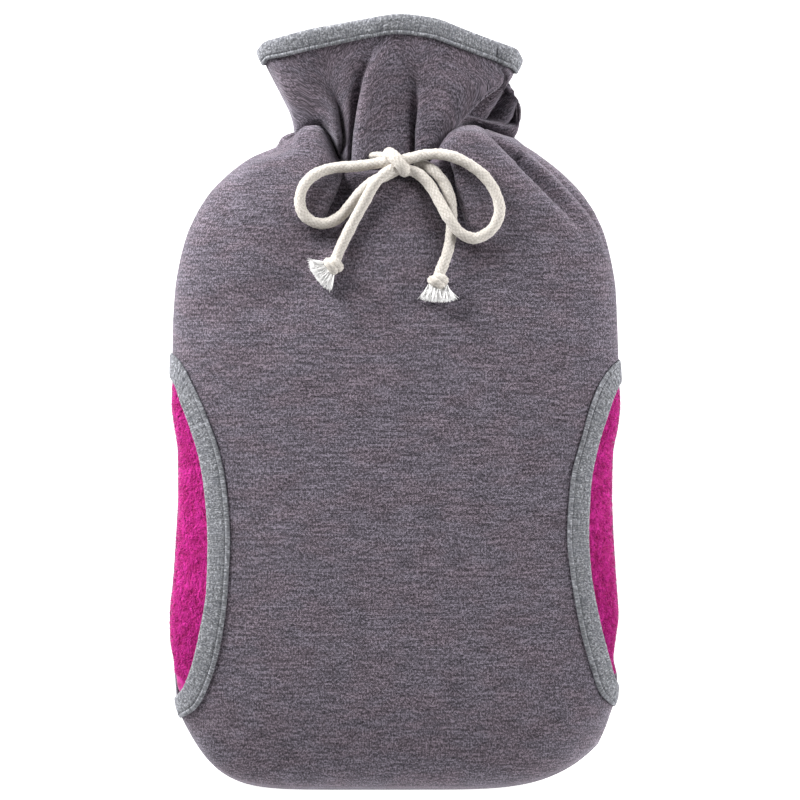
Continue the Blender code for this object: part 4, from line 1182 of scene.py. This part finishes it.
HEATHER = heather_group()
jersey = jersey_material()
rib = rib_material()
plush = plush_material("pink plush ground", (0.30, 0.004, 0.105, 1))
pile = plush_material("pink plush pile", (0.37, 0.006, 0.15, 1))
cotton = cord_material()
white_cotton = plain_yarn("frayed cotton", (0.86, 0.85, 0.84, 1), (0.97, 0.965, 0.96, 1))
pale_thread = plain_yarn("pale thread", (0.66, 0.67, 0.70, 1), (0.86, 0.87, 0.90, 1))
dark_thread = plain_yarn("dark thread", (0.018, 0.015, 0.022, 1), (0.035, 0.03, 0.042, 1))

# The cloth pieces
front = front_panel(jersey)
back = back_panel(jersey)
ground = plush_panel(plush)
hairs = plush_pile(pile)
left_tape, left_grid = side_tape("side_tape_left", LEFT_CUTAWAY, rib)
right_tape, right_grid = side_tape("side_tape_right", RIGHT_CUTAWAY, rib)
collar_tape, rim_grid = rim_tape("collar_tape", rib)

# Sewing: one row along each binding, and the drawcord's casing row through the collar's front
STITCH_PLACE = 2
UNDER_STITCHES = -3
CASING_ALONG = 323.174
for name, grid in (("left", left_grid), ("right", right_grid), ("collar", rim_grid)):
    above = grid[:, STITCH_PLACE] - grid[:, UNDER_STITCHES]
    above = above / np.linalg.norm(above, axis=1, keepdims=True)
    line = grid[:, STITCH_PLACE]
    stitches("stitches_" + name, line, above, 2.3, 0.3, 0.36, pale_thread)

casing_across = np.linspace(-0.262, 0.052, 60)
casing_along = np.full_like(casing_across, CASING_ALONG)
casing_line = front_point(casing_across, casing_along)
casing_up = outward(front_point, casing_across, casing_along)
stitches("stitches_casing", casing_line, casing_up, 1.9, 1.0, 0.34, dark_thread)

# The drawcord
for name, route in (("loop_left", LEFT_LOOP), ("loop_right", RIGHT_LOOP),
                    ("tail_left", LEFT_TAIL), ("tail_right", RIGHT_TAIL)):
    one_length = tube(route, CORD_RADIUS)
    cord_piece("drawcord_" + name, [one_length], cotton)

BOW_WRAP = ((-3.4, 311.4, 41.5), (-3.0, 311.2, 45.6), (-1.4, 310.2, 49.2), (0.6, 308.2, 51.2), (2.6, 305.8, 51.4),
            (4.0, 303.8, 49.2), (4.2, 303.2, 45.0))
CORD_ROOT = ((0.0, 309.2, 44.0), (-5.0, 310.4, 42.0), (-9.0, 310.8, 39.4), (-12.5, 310.6, 36.0))
bow = cord_piece("drawcord_bow_knot", [tube(BOW_WRAP, 3.2), tube(CORD_ROOT, 1.8)], cotton)
knot_left = end_knot("end_knot_left_tied", (-30.6, 257.0, 52.2), (-0.60, -0.78, 0.02), 2.0, cotton)
knot_right = end_knot("end_knot_right_tied", (20.6, 249.4, 53.4), (-0.2, -0.97, 0.02), 1.6, cotton)
tuft_left = frayed_tuft("tuft_left", (-32.4, 255.6, 52.0), 216, 34, 8.2, 3.8, 31, white_cotton)
tuft_right = frayed_tuft("tuft_right", (20.4, 247.6, 53.2), 268, 20, 8.6, 4.6, 37, white_cotton)

# The imported part that each piece stands for, hidden
for piece, solid in (
        (front, "front_panel"), (back, "back_panel"), (ground, "plush_panel"),
        (left_tape, "side_binding_left"), (right_tape, "side_binding_right"), (collar_tape, "collar_binding"),
        (bow, "bow_knot"), (knot_left, "end_knot_left"), (knot_right, "end_knot_right"),
        (tuft_left, "frayed_end_left"), (tuft_right, "frayed_end_right")):
    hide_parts(solid)
for name, far_end, on_it in (("loop_left", "object", [bow]), ("loop_right", "object", []),
                             ("tail_left", "knot", [knot_left, tuft_left]),
                             ("tail_right", "knot", [knot_right, tuft_right])):
    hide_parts("cord_" + name)

# Floor, light and camera
FLOOR_SIZE = 6.0
bpy.ops.object.select_all(action="DESELECT")
bpy.ops.mesh.primitive_plane_add(size=FLOOR_SIZE, location=(0, 0, -0.0003))
floor = bpy.context.object
floor.name = "pale_floor"
pale, _ = new_material("pale floor", Base_Color=(0.9, 0.9, 0.9, 1), Roughness=0.9,
                       Emission_Color=(1, 1, 1, 1), Emission_Strength=0.7)
floor.data.materials.append(pale)

scene = bpy.context.scene
scene.world = bpy.data.worlds.new("studio")
scene.world.use_nodes = True
background = scene.world.node_tree.nodes["Background"].inputs
background["Color"].default_value = (1, 1, 1, 1)
background["Strength"].default_value = 0.14
scene.view_settings.view_transform = "Standard"

for name, place, size, power in (
        ("softbox upper left", (-0.9, 0.9, 0.36), (0.6, 0.8), 47),
        ("softbox upper right", (1.0, 0.42, 0.40), (0.5, 0.9), 19),
        ("softbox below", (0.0, -1.3, 0.34), (1.0, 0.4), 14)):
    light = bpy.data.lights.new(name, "AREA")
    light.shape = "RECTANGLE"
    light.size, light.size_y = size
    light.energy = power
    lamp = bpy.data.objects.new(name, light)
    lamp.location = place
    lamp.rotation_euler = (Vector((0, 0, 0.03)) - Vector(place)).to_track_quat("-Z", "Y").to_euler()
    scene.collection.objects.link(lamp)

VIEW_WIDTH = 0.392
VIEW_MIDDLE = (2.45, 1.06)
FACE_HEIGHT = 0.025
camera_data = bpy.data.cameras.new("camera")
camera_data.lens = 800
distance = VIEW_WIDTH * camera_data.lens / camera_data.sensor_width
camera = bpy.data.objects.new("camera", camera_data)
camera.location = (VIEW_MIDDLE[0] * MM, VIEW_MIDDLE[1] * MM, FACE_HEIGHT + distance)
scene.collection.objects.link(camera)
scene.camera = camera
